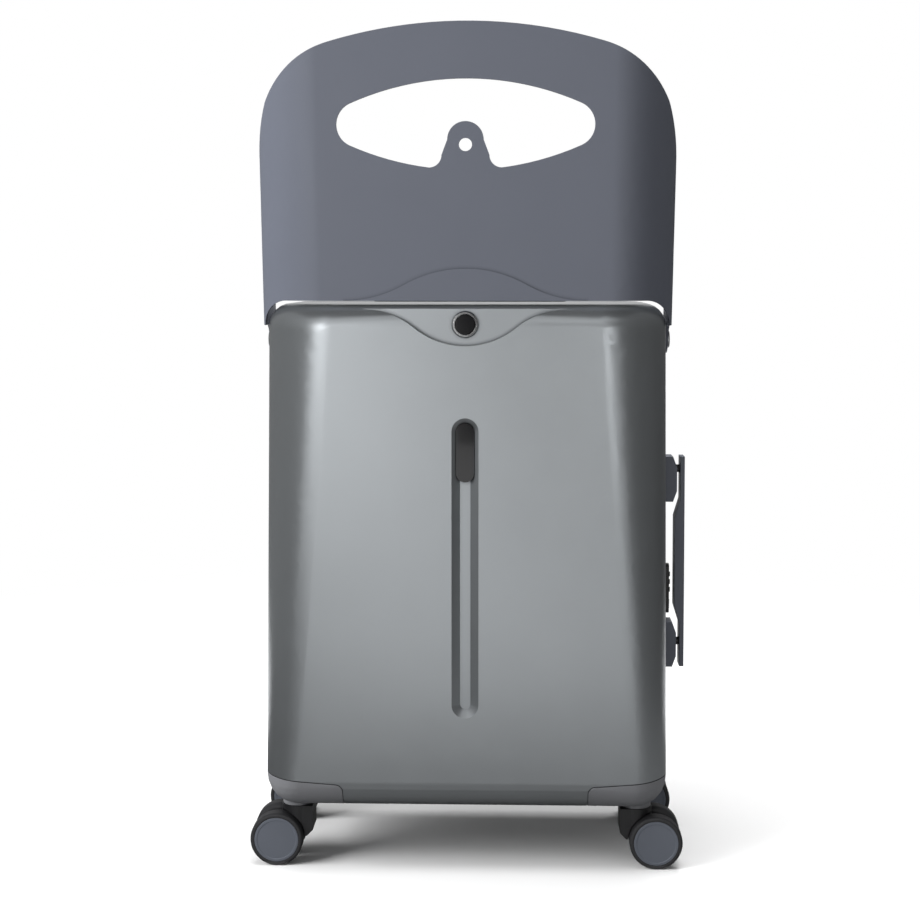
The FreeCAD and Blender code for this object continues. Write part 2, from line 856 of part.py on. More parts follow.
def rest_inner_half(height):
    """Inner half width of the backrest at a height."""
    return rest_half(height) - d.rest_wall


def rest_section(height):
    """Plan of the bent sheet: flat across the front, bent round both corners, straight to the rear."""
    outer = rest_half(height)
    inner = outer - d.rest_wall
    bend, inner_bend = d.rest_bend_radius, d.rest_bend_radius - d.rest_wall
    inside = rest_face + d.rest_wall
    return [
        (-outer, wing_end),
        (-outer, rest_face + bend, bend, True),
        (-outer + bend, rest_face),
        (outer - bend, rest_face, bend, True),
        (outer, rest_face + bend),
        (outer, wing_end),
        (inner, wing_end),
        (inner, inside + inner_bend, inner_bend, False),
        (inner - inner_bend, inside),
        (-inner + inner_bend, inside, inner_bend, False),
        (-inner, inside + inner_bend),
        (-inner, wing_end),
    ]


def rest_front_outline():
    """Front outline: large upper corners, an arched top and a foot that follows the top of the case."""
    wide = rest_half_high + d.overrun
    corner = d.rest_corner_radius
    corner_x = rest_half(d.rest_corner_height) - corner
    crown = d.rest_top - corner - d.rest_corner_height
    drop = (corner_x * corner_x - crown * crown) / (2 * crown)
    top_radius = drop + crown + corner
    meet_x = corner_x * top_radius / (drop + crown)
    meet_z = d.rest_top - top_radius + drop * top_radius / (drop + crown)
    foot = pivot_z - d.arm_radius - d.overrun
    cosine = d.rest_corner_cosine_share
    sine = (1 - cosine * cosine).root()
    turn_x, turn_z = corner_x + corner * cosine, d.rest_corner_height + corner * sine
    side_z = turn_z - (wide - turn_x) * cosine / sine
    edge = d.top_edge_radius + d.rest_lift
    flat_x, gap_x = half_width - d.top_edge_radius, half_width + d.rest_lift
    return [
        (-wide, foot),
        (-gap_x, foot),
        (-gap_x, shoulder_low, edge, False),
        (-flat_x, rest_low),
        (flat_x, rest_low, edge, False),
        (gap_x, shoulder_low),
        (gap_x, foot),
        (wide, foot),
        (wide, side_z),
        (turn_x, turn_z, corner, True),
        (meet_x, meet_z, top_radius, True),
        (-meet_x, meet_z, corner, True),
        (-turn_x, turn_z),
        (-wide, side_z),
    ]


def rest_side_outline():
    """Side outline: upright panel, wings that slope down and back into the pivot arms."""
    front = rest_face - d.overrun
    top = d.rest_top + d.overrun
    arm_front, arm_back = pivot_y - d.arm_radius, pivot_y + d.arm_radius
    throat = d.arm_throat_radius
    wing_tip = rest_face + d.wing_tip_depth
    return [
        (front, shoulder_low),
        (arm_front - throat, shoulder_low, throat, False),
        (arm_front, shoulder_low - throat),
        (arm_front, pivot_z, d.arm_radius, True),
        (pivot_y, pivot_z - d.arm_radius, d.arm_radius, True),
        (arm_back, pivot_z),
        (arm_back, d.wing_knee_height),
        (wing_tip, d.wing_tip_height),
        (wing_tip, top),
        (front, top),
    ]


def window_outline():
    """Eye-shaped window: two wide arcs with rounded ends."""
    middle, high, wide, end = d.window_middle, d.window_half_height, d.window_half_width, d.window_end_radius
    reach = wide - end
    radius = (reach * reach / (high - end) + end + high) / 2
    meet_x = reach * radius / (radius - end)
    meet_z = high - radius + (radius - high) * radius / (radius - end)
    points = [
        (-meet_x, middle - meet_z, radius, True),
        (meet_x, middle - meet_z, end, True),
        (wide, middle, end, True),
        (meet_x, middle + meet_z, radius, True),
        (-meet_x, middle + meet_z, end, True),
        (-wide, middle, end, True),
    ]
    return points, radius


def tab_outline(radius):
    """Tongue that stands up in the window, flared where it leaves the lower edge."""
    tip, flare = d.tab_tip_radius, d.tab_flare_radius
    waist = tip + d.tab_lean
    foot_x = waist + flare
    edge = d.window_middle - d.window_half_height + radius - (radius * radius - foot_x * foot_x).root()
    centre = d.window_middle - d.tab_tip_drop
    under = d.window_middle - d.window_half_height - d.overrun
    return [
        (-foot_x, under),
        (foot_x, under),
        (foot_x, edge, flare, False),
        (waist, edge + flare),
        (tip, centre, tip, True),
        (0, centre + tip, tip, True),
        (-tip, centre),
        (-waist, edge + flare, flare, False),
        (-foot_x, edge),
    ]


def backrest():
    """Backrest cut from a bent sheet, with its window, tongue and brow, and its two pivot pins."""
    low, high = pivot_z - d.arm_radius - d.overrun, d.rest_top + d.overrun
    channel = lofted("rest_channel", "XY_Plane", [(low, rest_section(low)), (high, rest_section(high))])
    wide = rest_half_high + d.overrun
    front, back = rest_face - d.overrun, wing_end + d.overrun
    panel = common("rest_panel", channel,
                   prism("rest_front", "XZ_Plane", [rest_front_outline()], front, back))
    sheet = common("rest_sheet", panel,
                   prism("rest_side", "YZ_Plane", [rest_side_outline()], -wide, wide))
    brow_points = bell(d.rest_brow_half_width, rest_low, d.rest_brow_height, True)
    brow = prism("rest_brow", "XZ_Plane", [brow_points], rest_face - d.rest_brow_relief,
                 rest_face + d.rest_wall / 2)
    inside = rest_face + d.rest_wall + d.overrun
    eye_points, eye_radius = window_outline()
    eye = prism("rest_eye", "XZ_Plane", [eye_points], front, inside)
    tab = prism("rest_tab", "XZ_Plane", [tab_outline(eye_radius)], front - d.overrun, inside + d.overrun)
    window = cut("rest_window", eye, tab)
    hole = cylinder("tab_hole", "y", (0, front, d.window_middle - d.tab_hole_drop), d.tab_hole_radius,
                    inside - front)
    pivot = cylinder("arm_holes", "x", (-wide, pivot_y, pivot_z), d.pivot_radius + d.running_gap, wide * 2)
    node(cut("backrest", fuse("rest_body", sheet, brow), window, hole, pivot), "backrest")
    head = rest_half(pivot_z) + d.clearance
    wall_inside = half_width - d.shell_wall
    profile = [
        (wall_inside - d.pivot_flange_height, 0),
        (head + d.pivot_head_height, 0),
        (head + d.pivot_head_height, d.pivot_head_radius - d.pivot_head_height / 2),
        (head + d.pivot_head_height / 2, d.pivot_head_radius),
        (head, d.pivot_head_radius),
        (head, d.pivot_radius),
        (wall_inside, d.pivot_radius),
        (wall_inside, d.pivot_flange_radius),
        (wall_inside - d.pivot_flange_height, d.pivot_flange_radius),
    ]
    pins = [turned(f"pivot_pin_{word}", "XY_Plane", "H_Axis", mirrored(profile, side))
            for word, side in SIDES.items()]
    for pin in pins:
        place(pin, 0, pivot_y, pivot_z)
    node(group("pivot_pins", *pins), "pivot_pins")


def tube_outline(x, stage, grow=0):
    """Rounded outline of one telescope stage: 0 outer, 1 middle, 2 inner."""
    step = (d.tube_wall + d.tube_play) * stage
    return rounded(x, tube_y, d.tube_width - step * 2 + grow * 2, d.tube_depth - step * 2 + grow * 2,
                   d.tube_corner - step + grow)


def tube(name, x, stage, low, high):
    """One hollow tube of the pull handle."""
    return prism(name, "XY_Plane", [tube_outline(x, stage), tube_outline(x, stage, -d.tube_wall)], low, high)


def pull_handle():
    """Pull handle: foot, outer, middle and inner tubes, well, collars, grip, button and latch rods."""
    ends = {word: side * d.tube_across for word, side in SIDES.items()}
    foot_low = d.case_floor + d.shell_wall
    tube_low = foot_low + d.tube_foot_height - d.tube_foot_socket
    reach = d.tube_across + d.tube_width / 2 + d.tube_foot_margin
    depth = d.tube_depth / 2 + d.tube_foot_margin
    foot = box("foot_block", (-reach, reach), (tube_y - depth, tube_y + depth),
               (foot_low, foot_low + d.tube_foot_height))
    sockets = [prism(f"foot_socket_{word}", "XY_Plane", [tube_outline(x, 0, d.press_gap)], tube_low,
                     foot_low + d.tube_foot_height + d.overrun) for word, x in ends.items()]
    node(cut("tube_foot", foot, *sockets), "tube_foot")
    stages = (
        ("outer_tubes", tube_low, well_floor),
        ("middle_tubes", tube_low + d.stage_step, well_floor + d.collar_height + d.clearance),
        ("inner_tubes", tube_low + d.stage_step * 2, channel_floor),
    )
    for stage, (name, low, high) in enumerate(stages):
        pair = [tube(f"{name}_{word}", x, stage, low, high) for word, x in ends.items()]
        node(group(name, *pair), name)
    collar_holes, collars = [], []
    for word, x in ends.items():
        around = tube_outline(x, 0, d.collar_margin)
        collar_holes.append(prism(f"collar_hole_{word}", "XY_Plane",
                                  [tube_outline(x, 0, d.collar_margin + d.press_gap)],
                                  well_floor - d.overrun, d.case_top - d.grip_height))
        collars.append(prism(f"collar_{word}", "XY_Plane", [around, tube_outline(x, 1, d.tube_play)],
                             well_floor, well_floor + d.collar_height))
    tray = prism("well_tray", "XY_Plane", [well_outline(0 * d.clearance)], well_floor, d.case_top)
    lip = prism("well_rim", "XY_Plane", [well_outline(d.well_lip)], d.case_top,
                d.case_top + d.well_lip_height)
    hollow = prism("well_hollow", "XY_Plane", [well_outline(-d.well_wall)], well_floor + d.well_wall,
                   d.case_top + d.overrun)
    node(cut("handle_well", fuse("well_body", tray, lip), hollow, *collar_holes), "handle_well")
    node(group("tube_collars", *collars), "tube_collars")
    bar = prism("grip_bar", "YZ_Plane",
                [rounded(tube_y, grip_low + d.grip_height / 2, d.grip_width, d.grip_height, d.grip_round)],
                -d.grip_half_length, d.grip_half_length)
    for end in (d.grip_half_length, -d.grip_half_length):
        round_edges(bar, d.grip_round - d.clearance, lies_at("x", end))
    lane = d.grip_channel_width / 2
    run = d.tube_across + d.tube_width / 2
    channel = box("grip_channel", (-run, run), (tube_y - lane, tube_y + lane), (channel_floor, channel_top))
    slot_half = d.button_half_length + d.clearance
    slot_side = d.button_width / 2 + d.clearance
    slot = box("grip_slot", (-slot_half, slot_half), (tube_y - slot_side, tube_y + slot_side),
               (channel_floor, grip_high + d.overrun))
    grip_sockets = [prism(f"grip_socket_{word}", "XY_Plane", [tube_outline(x, 2, d.press_gap)],
                          grip_low - d.overrun, channel_floor) for word, x in ends.items()]
    node(cut("grip", bar, channel, slot, *grip_sockets), "grip")
    bridge_top = channel_top - d.clearance
    press = prism("grip_button", "YZ_Plane",
                  [rounded(tube_y, (bridge_top + grip_high + d.button_proud) / 2, d.button_width,
                           grip_high + d.button_proud - bridge_top, d.button_proud * 2)],
                  -d.button_half_length, d.button_half_length)
    node(press, "grip_button")
    rod_reach = d.tube_across + d.rod_radius
    half_bridge = d.bridge_width / 2
    bridge = box("latch_bridge", (-rod_reach, rod_reach), (tube_y - half_bridge, tube_y + half_bridge),
                 (bridge_top - d.bridge_height, bridge_top))
    rod_low = tube_low + d.stage_step * 3
    rods = [cylinder(f"latch_rod_{word}", "z", (x, tube_y, rod_low), d.rod_radius,
                     bridge_top - d.bridge_height / 2 - rod_low) for word, x in ends.items()]
    node(fuse("latch_rods", bridge, *rods), "latch_rods")


def side_handle():
    """Carry handle on the right wall: two sockets, two sprung posts and the bar they pull out with."""
    low_y, high_y = d.side_middle - d.socket_width / 2, d.side_middle + d.socket_width / 2
    inner_end = side_wall_face - d.socket_root_depth
    face = side_wall_face + d.socket_reach
    pocket_start = inner_end + d.socket_front_wall
    pocket_end = face - d.socket_front_wall
    flange_start = pocket_start + d.clearance
    spring_start = flange_start + d.post_flange_height + d.side_pull + d.clearance
    bar_back = side_wall_face + d.side_bar_reach
    bar_front_ends = bar_back - d.side_bar_end
    sockets, posts, springs = [], [], []
    lows = (d.side_high - d.socket_length, d.side_low)
    for index, (low, z) in enumerate(zip(lows, post_heights)):
        high = low + d.socket_length
        points = [
            (side_wall_face, low),
            (face - d.socket_slope, low),
            (face, low + d.socket_slope_length),
            (face, high - d.socket_slope_length),
            (face - d.socket_slope, high),
            (side_wall_face, high),
        ]
        shell = prism(f"socket_shell_{index}", "XZ_Plane", [points], low_y, high_y)
        start = (inner_end, d.side_middle, z)
        root = cylinder(f"socket_root_{index}", "x", start, d.socket_root_radius,
                        d.socket_root_depth + d.socket_front_wall)
        pocket = cylinder(f"socket_pocket_{index}", "x", (pocket_start, d.side_middle, z),
                          d.socket_pocket_radius, pocket_end - pocket_start)
        bore = cylinder(f"socket_bore_{index}", "x", (pocket_start, d.side_middle, z),
                        d.post_radius + d.running_gap, face + d.overrun - pocket_start)
        sockets.append(cut(f"socket_{index}", fuse(f"socket_solid_{index}", shell, root), pocket, bore))
        flange = cylinder(f"post_flange_{index}", "x", (flange_start, d.side_middle, z),
                          d.post_flange_radius, d.post_flange_height)
        shaft = cylinder(f"post_shaft_{index}", "x", (flange_start, d.side_middle, z), d.post_radius,
                         bar_front_ends - flange_start)
        posts.append(fuse(f"post_{index}", flange, shaft))
        coil = cylinder(f"spring_coil_{index}", "x", (spring_start, d.side_middle, z),
                        d.post_flange_radius, pocket_end - spring_start)
        core = cylinder(f"spring_core_{index}", "x", (spring_start, d.side_middle, z),
                        d.post_flange_radius - d.spring_wall, pocket_end - spring_start)
        springs.append(cut(f"spring_{index}", coil, core))
    node(group("side_handle_sockets", *sockets), "side_handle_sockets")
    node(group("side_handle_posts", *posts), "side_handle_posts")
    node(group("side_handle_springs", *springs), "side_handle_springs")
    middle = bar_back - d.side_bar_middle
    neck, slope = d.side_bar_neck, d.side_bar_slope
    bar = prism("side_handle_bar", "XZ_Plane", [[
        (bar_front_ends, d.side_low),
        (bar_back, d.side_low),
        (bar_back, d.side_high),
        (bar_front_ends, d.side_high),
        (bar_front_ends, d.side_high - neck),
        (middle, d.side_high - neck - slope),
        (middle, d.side_low + neck + slope),
        (bar_front_ends, d.side_low + neck),
    ]], d.side_middle - d.side_bar_width / 2, d.side_middle + d.side_bar_width / 2)
    node(bar, "side_handle_bar")


def lock():
    """Dial lock beside the zip: housing with its spindle, three dials and a slide catch."""
    face = side_wall_face + d.lock_height
    middle_y = lock_back - d.lock_width / 2
    middle_z = (d.lock_low + d.lock_high) / 2
    plate = prism("lock_plate", "YZ_Plane",
                  [rounded(middle_y, middle_z, d.lock_width, d.lock_high - d.lock_low, d.lock_corner)],
                  side_wall_face, face)
    axis_x = side_wall_face + d.dial_centre_height
    pockets = []
    half_dial = d.dial_thickness / 2
    centres = [d.lock_high - d.dial_from_top - d.dial_pitch * index for index in range(DIAL_COUNT)]
    for index, z in enumerate(centres):
        room = d.dial_radius + d.dial_room
        deep = half_dial + d.dial_room
        pockets.append(box(f"dial_pocket_{index}", (side_wall_face, face + d.overrun),
                           (middle_y - room, middle_y + room), (z - deep, z + deep)))
        dial = prism(f"lock_dial_{index + 1}", "XY_Plane",
                     [(axis_x, middle_y, d.dial_radius), (axis_x, middle_y, d.dial_bore_radius)],
                     z - half_dial, z + half_dial)
        node(dial, f"lock_dial_{index + 1}")
    catch_low = d.lock_low + d.slider_from_bottom
    catch_sink = face - d.slider_sink
    side = d.slider_width / 2
    pockets.append(box("catch_track", (catch_sink, face + d.overrun),
                       (middle_y - side - d.clearance, middle_y + side + d.clearance),
                       (catch_low - d.clearance, catch_low + d.slider_length + d.slider_travel + d.clearance)))
    spindle_low = centres[-1] - d.dial_thickness
    spindle = cylinder("lock_spindle", "z", (axis_x, middle_y, spindle_low),
                       d.dial_bore_radius - d.running_gap, centres[0] + d.dial_thickness - spindle_low)
    node(fuse("lock_housing", cut("lock_case", plate, *pockets), spindle), "lock_housing")
    catch_start = catch_sink + d.clearance
    node(box("lock_catch", (catch_start, catch_start + d.slider_height), (middle_y - side, middle_y + side),
             (catch_low, catch_low + d.slider_length)), "lock_catch")


def zip_pulls():
    """Two zip sliders with their pull tabs, parked behind the lock."""
    front = lock_back + d.clearance
    back = front + d.puller_width
    tab_side = d.puller_tab_width / 2
    middle = (front + back) / 2
    top = side_wall_face + d.puller_height
    pulls = []
    for index in range(len(SIDES)):
        high = d.lock_high - d.puller_pitch * index
        low = high - d.puller_length
        runner = box(f"zip_runner_{index}", (side_wall_face, top), (front, back), (low, high))
        tab = box(f"zip_tab_{index}", (top - d.puller_tab_thickness, top),
                  (middle - tab_side, middle + tab_side), (low - d.puller_tab, high - d.clearance))
        pulls.append(fuse(f"zip_pull_{index}", runner, tab))
    node(group("zip_sliders", *pulls), "zip_sliders")


def swivel_pins(half, name):
    """Pins that the two casters of one half turn on."""
    head = pin_bottom + d.pin_head_height
    profile = [
        (0, pin_bottom),
        (d.pin_head_radius, pin_bottom),
        (d.pin_head_radius, head),
        (d.pin_radius, head),
        (d.pin_radius, head + d.pin_length),
        (0, head + d.pin_length),
    ]
    pins = []
    for word, side in SIDES.items():
        pin = turned(f"{name}_{word}", "XZ_Plane", "V_Axis", profile)
        x, y = stem_place(side, half)
        pins.append(place(pin, x, y, 0))
    node(group(name, *pins), name)


def caster(name, side, half):
    """Fork, axle and twin wheels of one caster, trailing to the outside of the case."""
    x, y = stem_place(side, half)
    axle_x = side * (stem_x + d.trail)
    axle_z = d.wheel_radius
    plate_low = fork_top - d.fork_plate
    plate_middle = fork_top - d.fork_plate / 2
    inside = stem_x - d.fork_radius
    skirt_end = stem_x + d.fork_skirt_reach
    skirt = [
        (inside, fork_top),
        (inside, d.fork_skirt_low + d.fork_skirt_chamfer),
        (inside + d.fork_skirt_chamfer, d.fork_skirt_low),
        (skirt_end, d.fork_skirt_low),
        (skirt_end, fork_top),
    ]
    boss = d.fork_boss_radius
    hub_x = stem_x + d.trail
    web = [
        (inside, plate_middle),
        (inside, d.fork_skirt_low + d.fork_skirt_chamfer),
        (inside + d.fork_skirt_chamfer, d.fork_skirt_low),
        (hub_x, axle_z - boss, boss, True),
        (hub_x + boss, axle_z, boss, True),
        (hub_x, axle_z + boss),
        (stem_x + d.fork_radius, plate_middle),
    ]
    half_web, half_skirt = d.fork_web / 2, d.fork_skirt_half_width
    plate = cylinder(f"{name}_plate", "z", (x, y, plate_low), d.fork_radius, d.fork_plate)
    solid = fuse(f"{name}_fork_solid", plate,
                 prism(f"{name}_skirt", "XZ_Plane", [mirrored(skirt, side)], y - half_skirt, y + half_skirt),
                 prism(f"{name}_web", "XZ_Plane", [mirrored(web, side)], y - half_web, y + half_web))
    room = d.wheel_radius + d.fender_gap
    wheel_reach = d.wheel_width + d.overrun * 2
    tools = [
        cylinder(f"{name}_room_fore", "y", (axle_x, y - half_web - wheel_reach, axle_z), room, wheel_reach),
        cylinder(f"{name}_room_aft", "y", (axle_x, y + half_web, axle_z), room, wheel_reach),
        cylinder(f"{name}_head_room", "z", (x, y, 0), d.pin_head_radius + d.clearance, plate_low),
        cylinder(f"{name}_pin_bore", "z", (x, y, 0), d.pin_radius + d.running_gap, fork_top + d.overrun),
        cylinder(f"{name}_axle_bore", "y", (axle_x, y - half_web - d.overrun, axle_z),
                 d.axle_radius + d.press_gap, d.fork_web + d.overrun * 2),
    ]
    node(cut(f"{name}_fork", solid, *tools), f"{name}_fork")
    face = d.wheel_width
    seat = face - d.hub_cap_seat
    head_floor = seat - d.axle_head_height - d.clearance * 2
    shaft = half_web + d.wheel_gap + head_floor + d.clearance
    head = shaft + d.axle_head_height
    axle = turned(f"{name}_axle", "XY_Plane", "V_Axis", [
        (0, -head),
        (d.axle_head_radius, -head),
        (d.axle_head_radius, -shaft),
        (d.axle_radius, -shaft),
        (d.axle_radius, shaft),
        (d.axle_head_radius, shaft),
        (d.axle_head_radius, head),
        (0, head),
    ])
    node(place(axle, axle_x, y, axle_z), f"{name}_axle")
    shoulder, rim = d.wheel_shoulder, d.wheel_radius
    cap_room = d.hub_cap_radius + d.press_gap
    head_room = d.axle_head_radius + d.clearance
    bore = d.axle_radius + d.running_gap
    tread = [
        (bore, 0),
        (rim - shoulder, 0, shoulder, True),
        (rim, shoulder),
        (rim, face - shoulder / 2, shoulder / 2, True),
        (rim - shoulder / 2, face),
        (cap_room, face),
        (cap_room, seat),
        (head_room, seat),
        (head_room, head_floor),
        (bore, head_floor),
    ]
    edge = d.hub_cap_dish
    dish = d.hub_cap_radius - d.hub_cap_rim
    cover = [
        (0, seat),
        (d.hub_cap_radius, seat),
        (d.hub_cap_radius, face - edge),
        (d.hub_cap_radius - edge, face),
        (dish, face),
        (dish - edge, face - edge),
        (0, face - edge),
    ]
    for word, way in (("fore", -1), ("aft", 1)):
        for piece, profile in (("tyre", tread), ("hub_cap", cover)):
            label = f"{name}_{word}_{piece}"
            item = turned(label, "XY_Plane", "V_Axis", profile)
            item.Placement = Placement(Vector(), Rotation(Vector(0, 0, 1), 0 if way > 0 else 180))
            node(place(item, axle_x, y + way * (half_web + d.wheel_gap), axle_z), label)


def well_outline(grow):
    """Plan of the handle well, grown or drawn in all round."""
    return rounded(0, (well_front + well_back) / 2, d.well_half_length * 2 + grow * 2,
                   d.well_width + grow * 2, d.well_corner + grow)


def export():
    """Check every object and each sub-part, then write one file for each."""
    doc.recompute()
    broken = [item.Label for item in doc.Objects if {"Invalid", "Error"} & set(item.State)]
    broken += [item.Label for item in nodes if not item.Shape.Solids or not item.Shape.isValid()]
    if broken:
        raise RuntimeError(f"these objects failed: {broken}")
    os.makedirs("parts", exist_ok=True)
    for item in nodes:
        item.Shape.exportStep(os.path.join("parts", f"{item.Label}.step"))
        print(f"{item.Label}: {len(item.Shape.Solids)} solids, {item.Shape.Volume:.0f} mm3")


front_half()
push_button()
rear_half()
backrest()
pull_handle()
side_handle()
lock()
zip_pulls()
swivel_pins(-1, "front_swivel_pins")
swivel_pins(1, "rear_swivel_pins")
for half_word, half_sign in HALVES.items():
    for side_word, side_sign in SIDES.items():
        caster(f"{half_word}_{side_word}", side_sign, half_sign)
export()
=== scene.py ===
"""Looks of the ride-on cabin suitcase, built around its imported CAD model.

All lengths are metres in the CAD frame: +X is the right side seen from the front, +Y points to the
back, +Z is up and the origin lies on the floor under the middle of the case.
"""

import logging
import math
from dataclasses import dataclass
from enum import Enum
from typing import Any, Sequence

import bmesh
import bpy
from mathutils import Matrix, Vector, noise


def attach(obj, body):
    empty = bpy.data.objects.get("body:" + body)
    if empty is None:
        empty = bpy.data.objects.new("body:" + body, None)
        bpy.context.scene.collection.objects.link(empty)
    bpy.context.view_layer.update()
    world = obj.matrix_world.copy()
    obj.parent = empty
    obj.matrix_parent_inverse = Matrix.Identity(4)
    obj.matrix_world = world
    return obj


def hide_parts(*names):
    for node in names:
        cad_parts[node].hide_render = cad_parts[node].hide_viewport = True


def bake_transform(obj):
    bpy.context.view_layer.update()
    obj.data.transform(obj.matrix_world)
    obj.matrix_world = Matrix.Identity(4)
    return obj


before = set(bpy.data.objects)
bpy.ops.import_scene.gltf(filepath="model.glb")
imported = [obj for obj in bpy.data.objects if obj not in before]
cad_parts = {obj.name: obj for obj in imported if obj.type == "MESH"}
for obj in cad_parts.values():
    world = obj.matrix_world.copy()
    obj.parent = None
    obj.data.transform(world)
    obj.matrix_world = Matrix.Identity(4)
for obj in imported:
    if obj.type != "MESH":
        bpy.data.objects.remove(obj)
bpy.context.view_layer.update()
MM = 0.001
POINT_MERGE = 0.005 * MM
WHITE = (1.0, 1.0, 1.0, 1.0)
log = logging.getLogger("suitcase")

Point = tuple[float, float, float]


class Rays(Enum):
    """Kinds of light that a lamp gives: light on surfaces, or only a reflection in them."""

    SOFT = "soft"
    SHINE = "shine"


class Body(str, Enum):
    """Moving bodies that added pieces ride on."""

    REAR = "rear_case"
    FRONT = "front_case"


def half_names(half: int) -> tuple[str, Body]:
    """Give the word and the body of the front half, -1, or the rear half, 1."""
    return ("front", Body.FRONT) if half < 0 else ("rear", Body.REAR)


def linear(code: str) -> tuple[float, float, float, float]:
    """Turn an sRGB hex colour into linear light.

    Args:
        code: Six hex digits, with or without a leading hash.

    Returns:
        Red, green, blue and an alpha of one.
    """
    digits = code.lstrip("#")
    parts = [int(digits[i:i + 2], 16) / 255 for i in (0, 2, 4)]
    bent = [p / 12.92 if p <= 0.04045 else ((p + 0.055) / 1.055) ** 2.4 for p in parts]
    return (*bent, 1.0)


def add_node(tree: bpy.types.NodeTree, kind: str, inputs: dict[str | int, Any] | None = None,
             **settings: Any) -> bpy.types.Node:
    """Add one node with its settings, values and links.

    Args:
        tree: Node tree that takes the node.
        kind: Blender's name for the node.
        inputs: Socket name or number to a value, or to the socket that feeds it.
        **settings: Attributes of the node.

    Returns:
        The new node.
    """
    node = tree.nodes.new(kind)
    for name, value in settings.items():
        setattr(node, name, value)
    for key, value in (inputs or {}).items():
        if isinstance(value, bpy.types.NodeSocket):
            tree.links.new(value, node.inputs[key])
        else:
            node.inputs[key].default_value = value
    return node


def blank_material(name: str) -> bpy.types.Material:
    """Make a material without any nodes.

    Args:
        name: Name of the material.

    Returns:
        The new material.
    """
    material = bpy.data.materials.new(name)
    material.use_nodes = True
    material.node_tree.nodes.clear()
    return material


def add_object(name: str, data: bpy.types.ID) -> bpy.types.Object:
    """Put a mesh, a lamp or a camera into the scene.

    Args:
        name: Name of the object.
        data: What it shows.

    Returns:
        The new object.
    """
    item = bpy.data.objects.new(name, data)
    bpy.context.scene.collection.objects.link(item)
    return item


@dataclass(frozen=True)
class Finish:
    """A moulded plastic: even colour, faint mottling and a fine grain from the mould.

    The mottle and the roughness both vary slowly over the surface, as handled plastic does. The
    grain is a shallow bump whose size is given in millimetres.
    """

    name: str
    colour: str
    roughness: float
    metallic: float = 0.0
    ior: float = 1.5
    grain_mm: float = 0.8
    grain_depth_mm: float = 0.03
    mottle_mm: float = 45.0
    mottle: float = 0.08
    uneven: float = 0.06
    coat: float = 0.0
    coat_roughness: float = 0.1
    stretch: Point = (1.0, 1.0, 1.0)
    # crease sets the strength of painted shade, from ambient occlusion, in narrow creases and seams; crease_mm sets
    # its reach.
    crease: float = 0.0
    crease_mm: float = 4.0

    def material(self) -> bpy.types.Material:
        """Give the finish's material, made once."""
        made = bpy.data.materials.get(self.name)
        return made if made else self.build()

    def build(self) -> bpy.types.Material:
        """Make the material's nodes.

        Returns:
            The new material.
        """
        material = blank_material(self.name)
        tree = material.node_tree
        place = add_node(tree, "ShaderNodeTexCoord").outputs["Object"]
        shader = add_node(tree, "ShaderNodeBsdfPrincipled", {
            "Metallic": self.metallic,
            "IOR": self.ior,
            "Coat Weight": self.coat,
            "Coat Roughness": self.coat_roughness,
            "Base Color": self.colours(tree, place),
            "Roughness": self.dullness(tree, place),
            "Normal": self.relief(tree, place),
        })
        self.extra(shader)
        add_node(tree, "ShaderNodeOutputMaterial", {"Surface": shader.outputs["BSDF"]})
        return material

    def noise(self, tree: bpy.types.NodeTree, place: bpy.types.NodeSocket, size_mm: float,
              detail: float = 2.0) -> bpy.types.NodeSocket:
        """Noise whose blobs have a size in millimetres.

        Args:
            tree: Node tree of the material.
            place: Coordinates in metres.
            size_mm: Size of a blob.
            detail: Number of finer layers.

        Returns:
            The noise value.
        """
        drawn = add_node(tree, "ShaderNodeMapping", {"Vector": place, "Scale": self.stretch})
        return add_node(tree, "ShaderNodeTexNoise", {
            "Vector": drawn.outputs["Vector"], "Scale": 1 / (size_mm * MM), "Detail": detail,
        }).outputs["Fac"]

    def colours(self, tree: bpy.types.NodeTree, place: bpy.types.NodeSocket) -> bpy.types.NodeSocket:
        """Base colour with slow mottling, and painted shade that darkens it in narrow creases and near other parts.

        Args:
            tree: Node tree of the material.
            place: Coordinates in metres.

        Returns:
            The colour socket.
        """
        base = linear(self.colour)
        dark = (*(c * (1 - self.mottle) for c in base[:3]), 1.0)
        light = (*(min(c * (1 + self.mottle), 1.0) for c in base[:3]), 1.0)
        blobs = self.noise(tree, place, self.mottle_mm)
        mottled = add_node(tree, "ShaderNodeMix", {0: blobs, 6: dark, 7: light},
                           data_type="RGBA").outputs[2]
        if not self.crease:
            return mottled
        # Painted shade: ambient occlusion darkens the colour in narrow creases, seams and gaps between parts.
        open_share = add_node(tree, "ShaderNodeAmbientOcclusion", {"Distance": self.crease_mm * MM},
                              samples=8)
        deep = (*(c * (1 - self.crease) for c in base[:3]), 1.0)
        return add_node(tree, "ShaderNodeMix", {0: open_share.outputs["AO"], 6: deep, 7: mottled},
                        data_type="RGBA").outputs[2]

    def dullness(self, tree: bpy.types.NodeTree, place: bpy.types.NodeSocket) -> bpy.types.NodeSocket:
        """Roughness that wanders a little round its typical value.

        Args:
            tree: Node tree of the material.
            place: Coordinates in metres.

        Returns:
            The roughness socket.
        """
        return add_node(tree, "ShaderNodeMapRange", {
            "Value": self.noise(tree, place, self.mottle_mm / 2, 4.0),
            "To Min": max(self.roughness - self.uneven, 0.02),
            "To Max": min(self.roughness + self.uneven, 1.0),
        }).outputs["Result"]

    def relief(self, tree: bpy.types.NodeTree, place: bpy.types.NodeSocket) -> bpy.types.NodeSocket:
        """Fine grain as a bump.

        Args:
            tree: Node tree of the material.
            place: Coordinates in metres.

        Returns:
            The normal socket.
        """
        return add_node(tree, "ShaderNodeBump", {
            "Height": self.noise(tree, place, self.grain_mm, 1.0),
            "Distance": self.grain_depth_mm * MM, "Strength": 1.0,
        }).outputs["Normal"]

    def extra(self, shader: bpy.types.Node) -> None:
        """Leave room for settings that only one kind of finish has."""
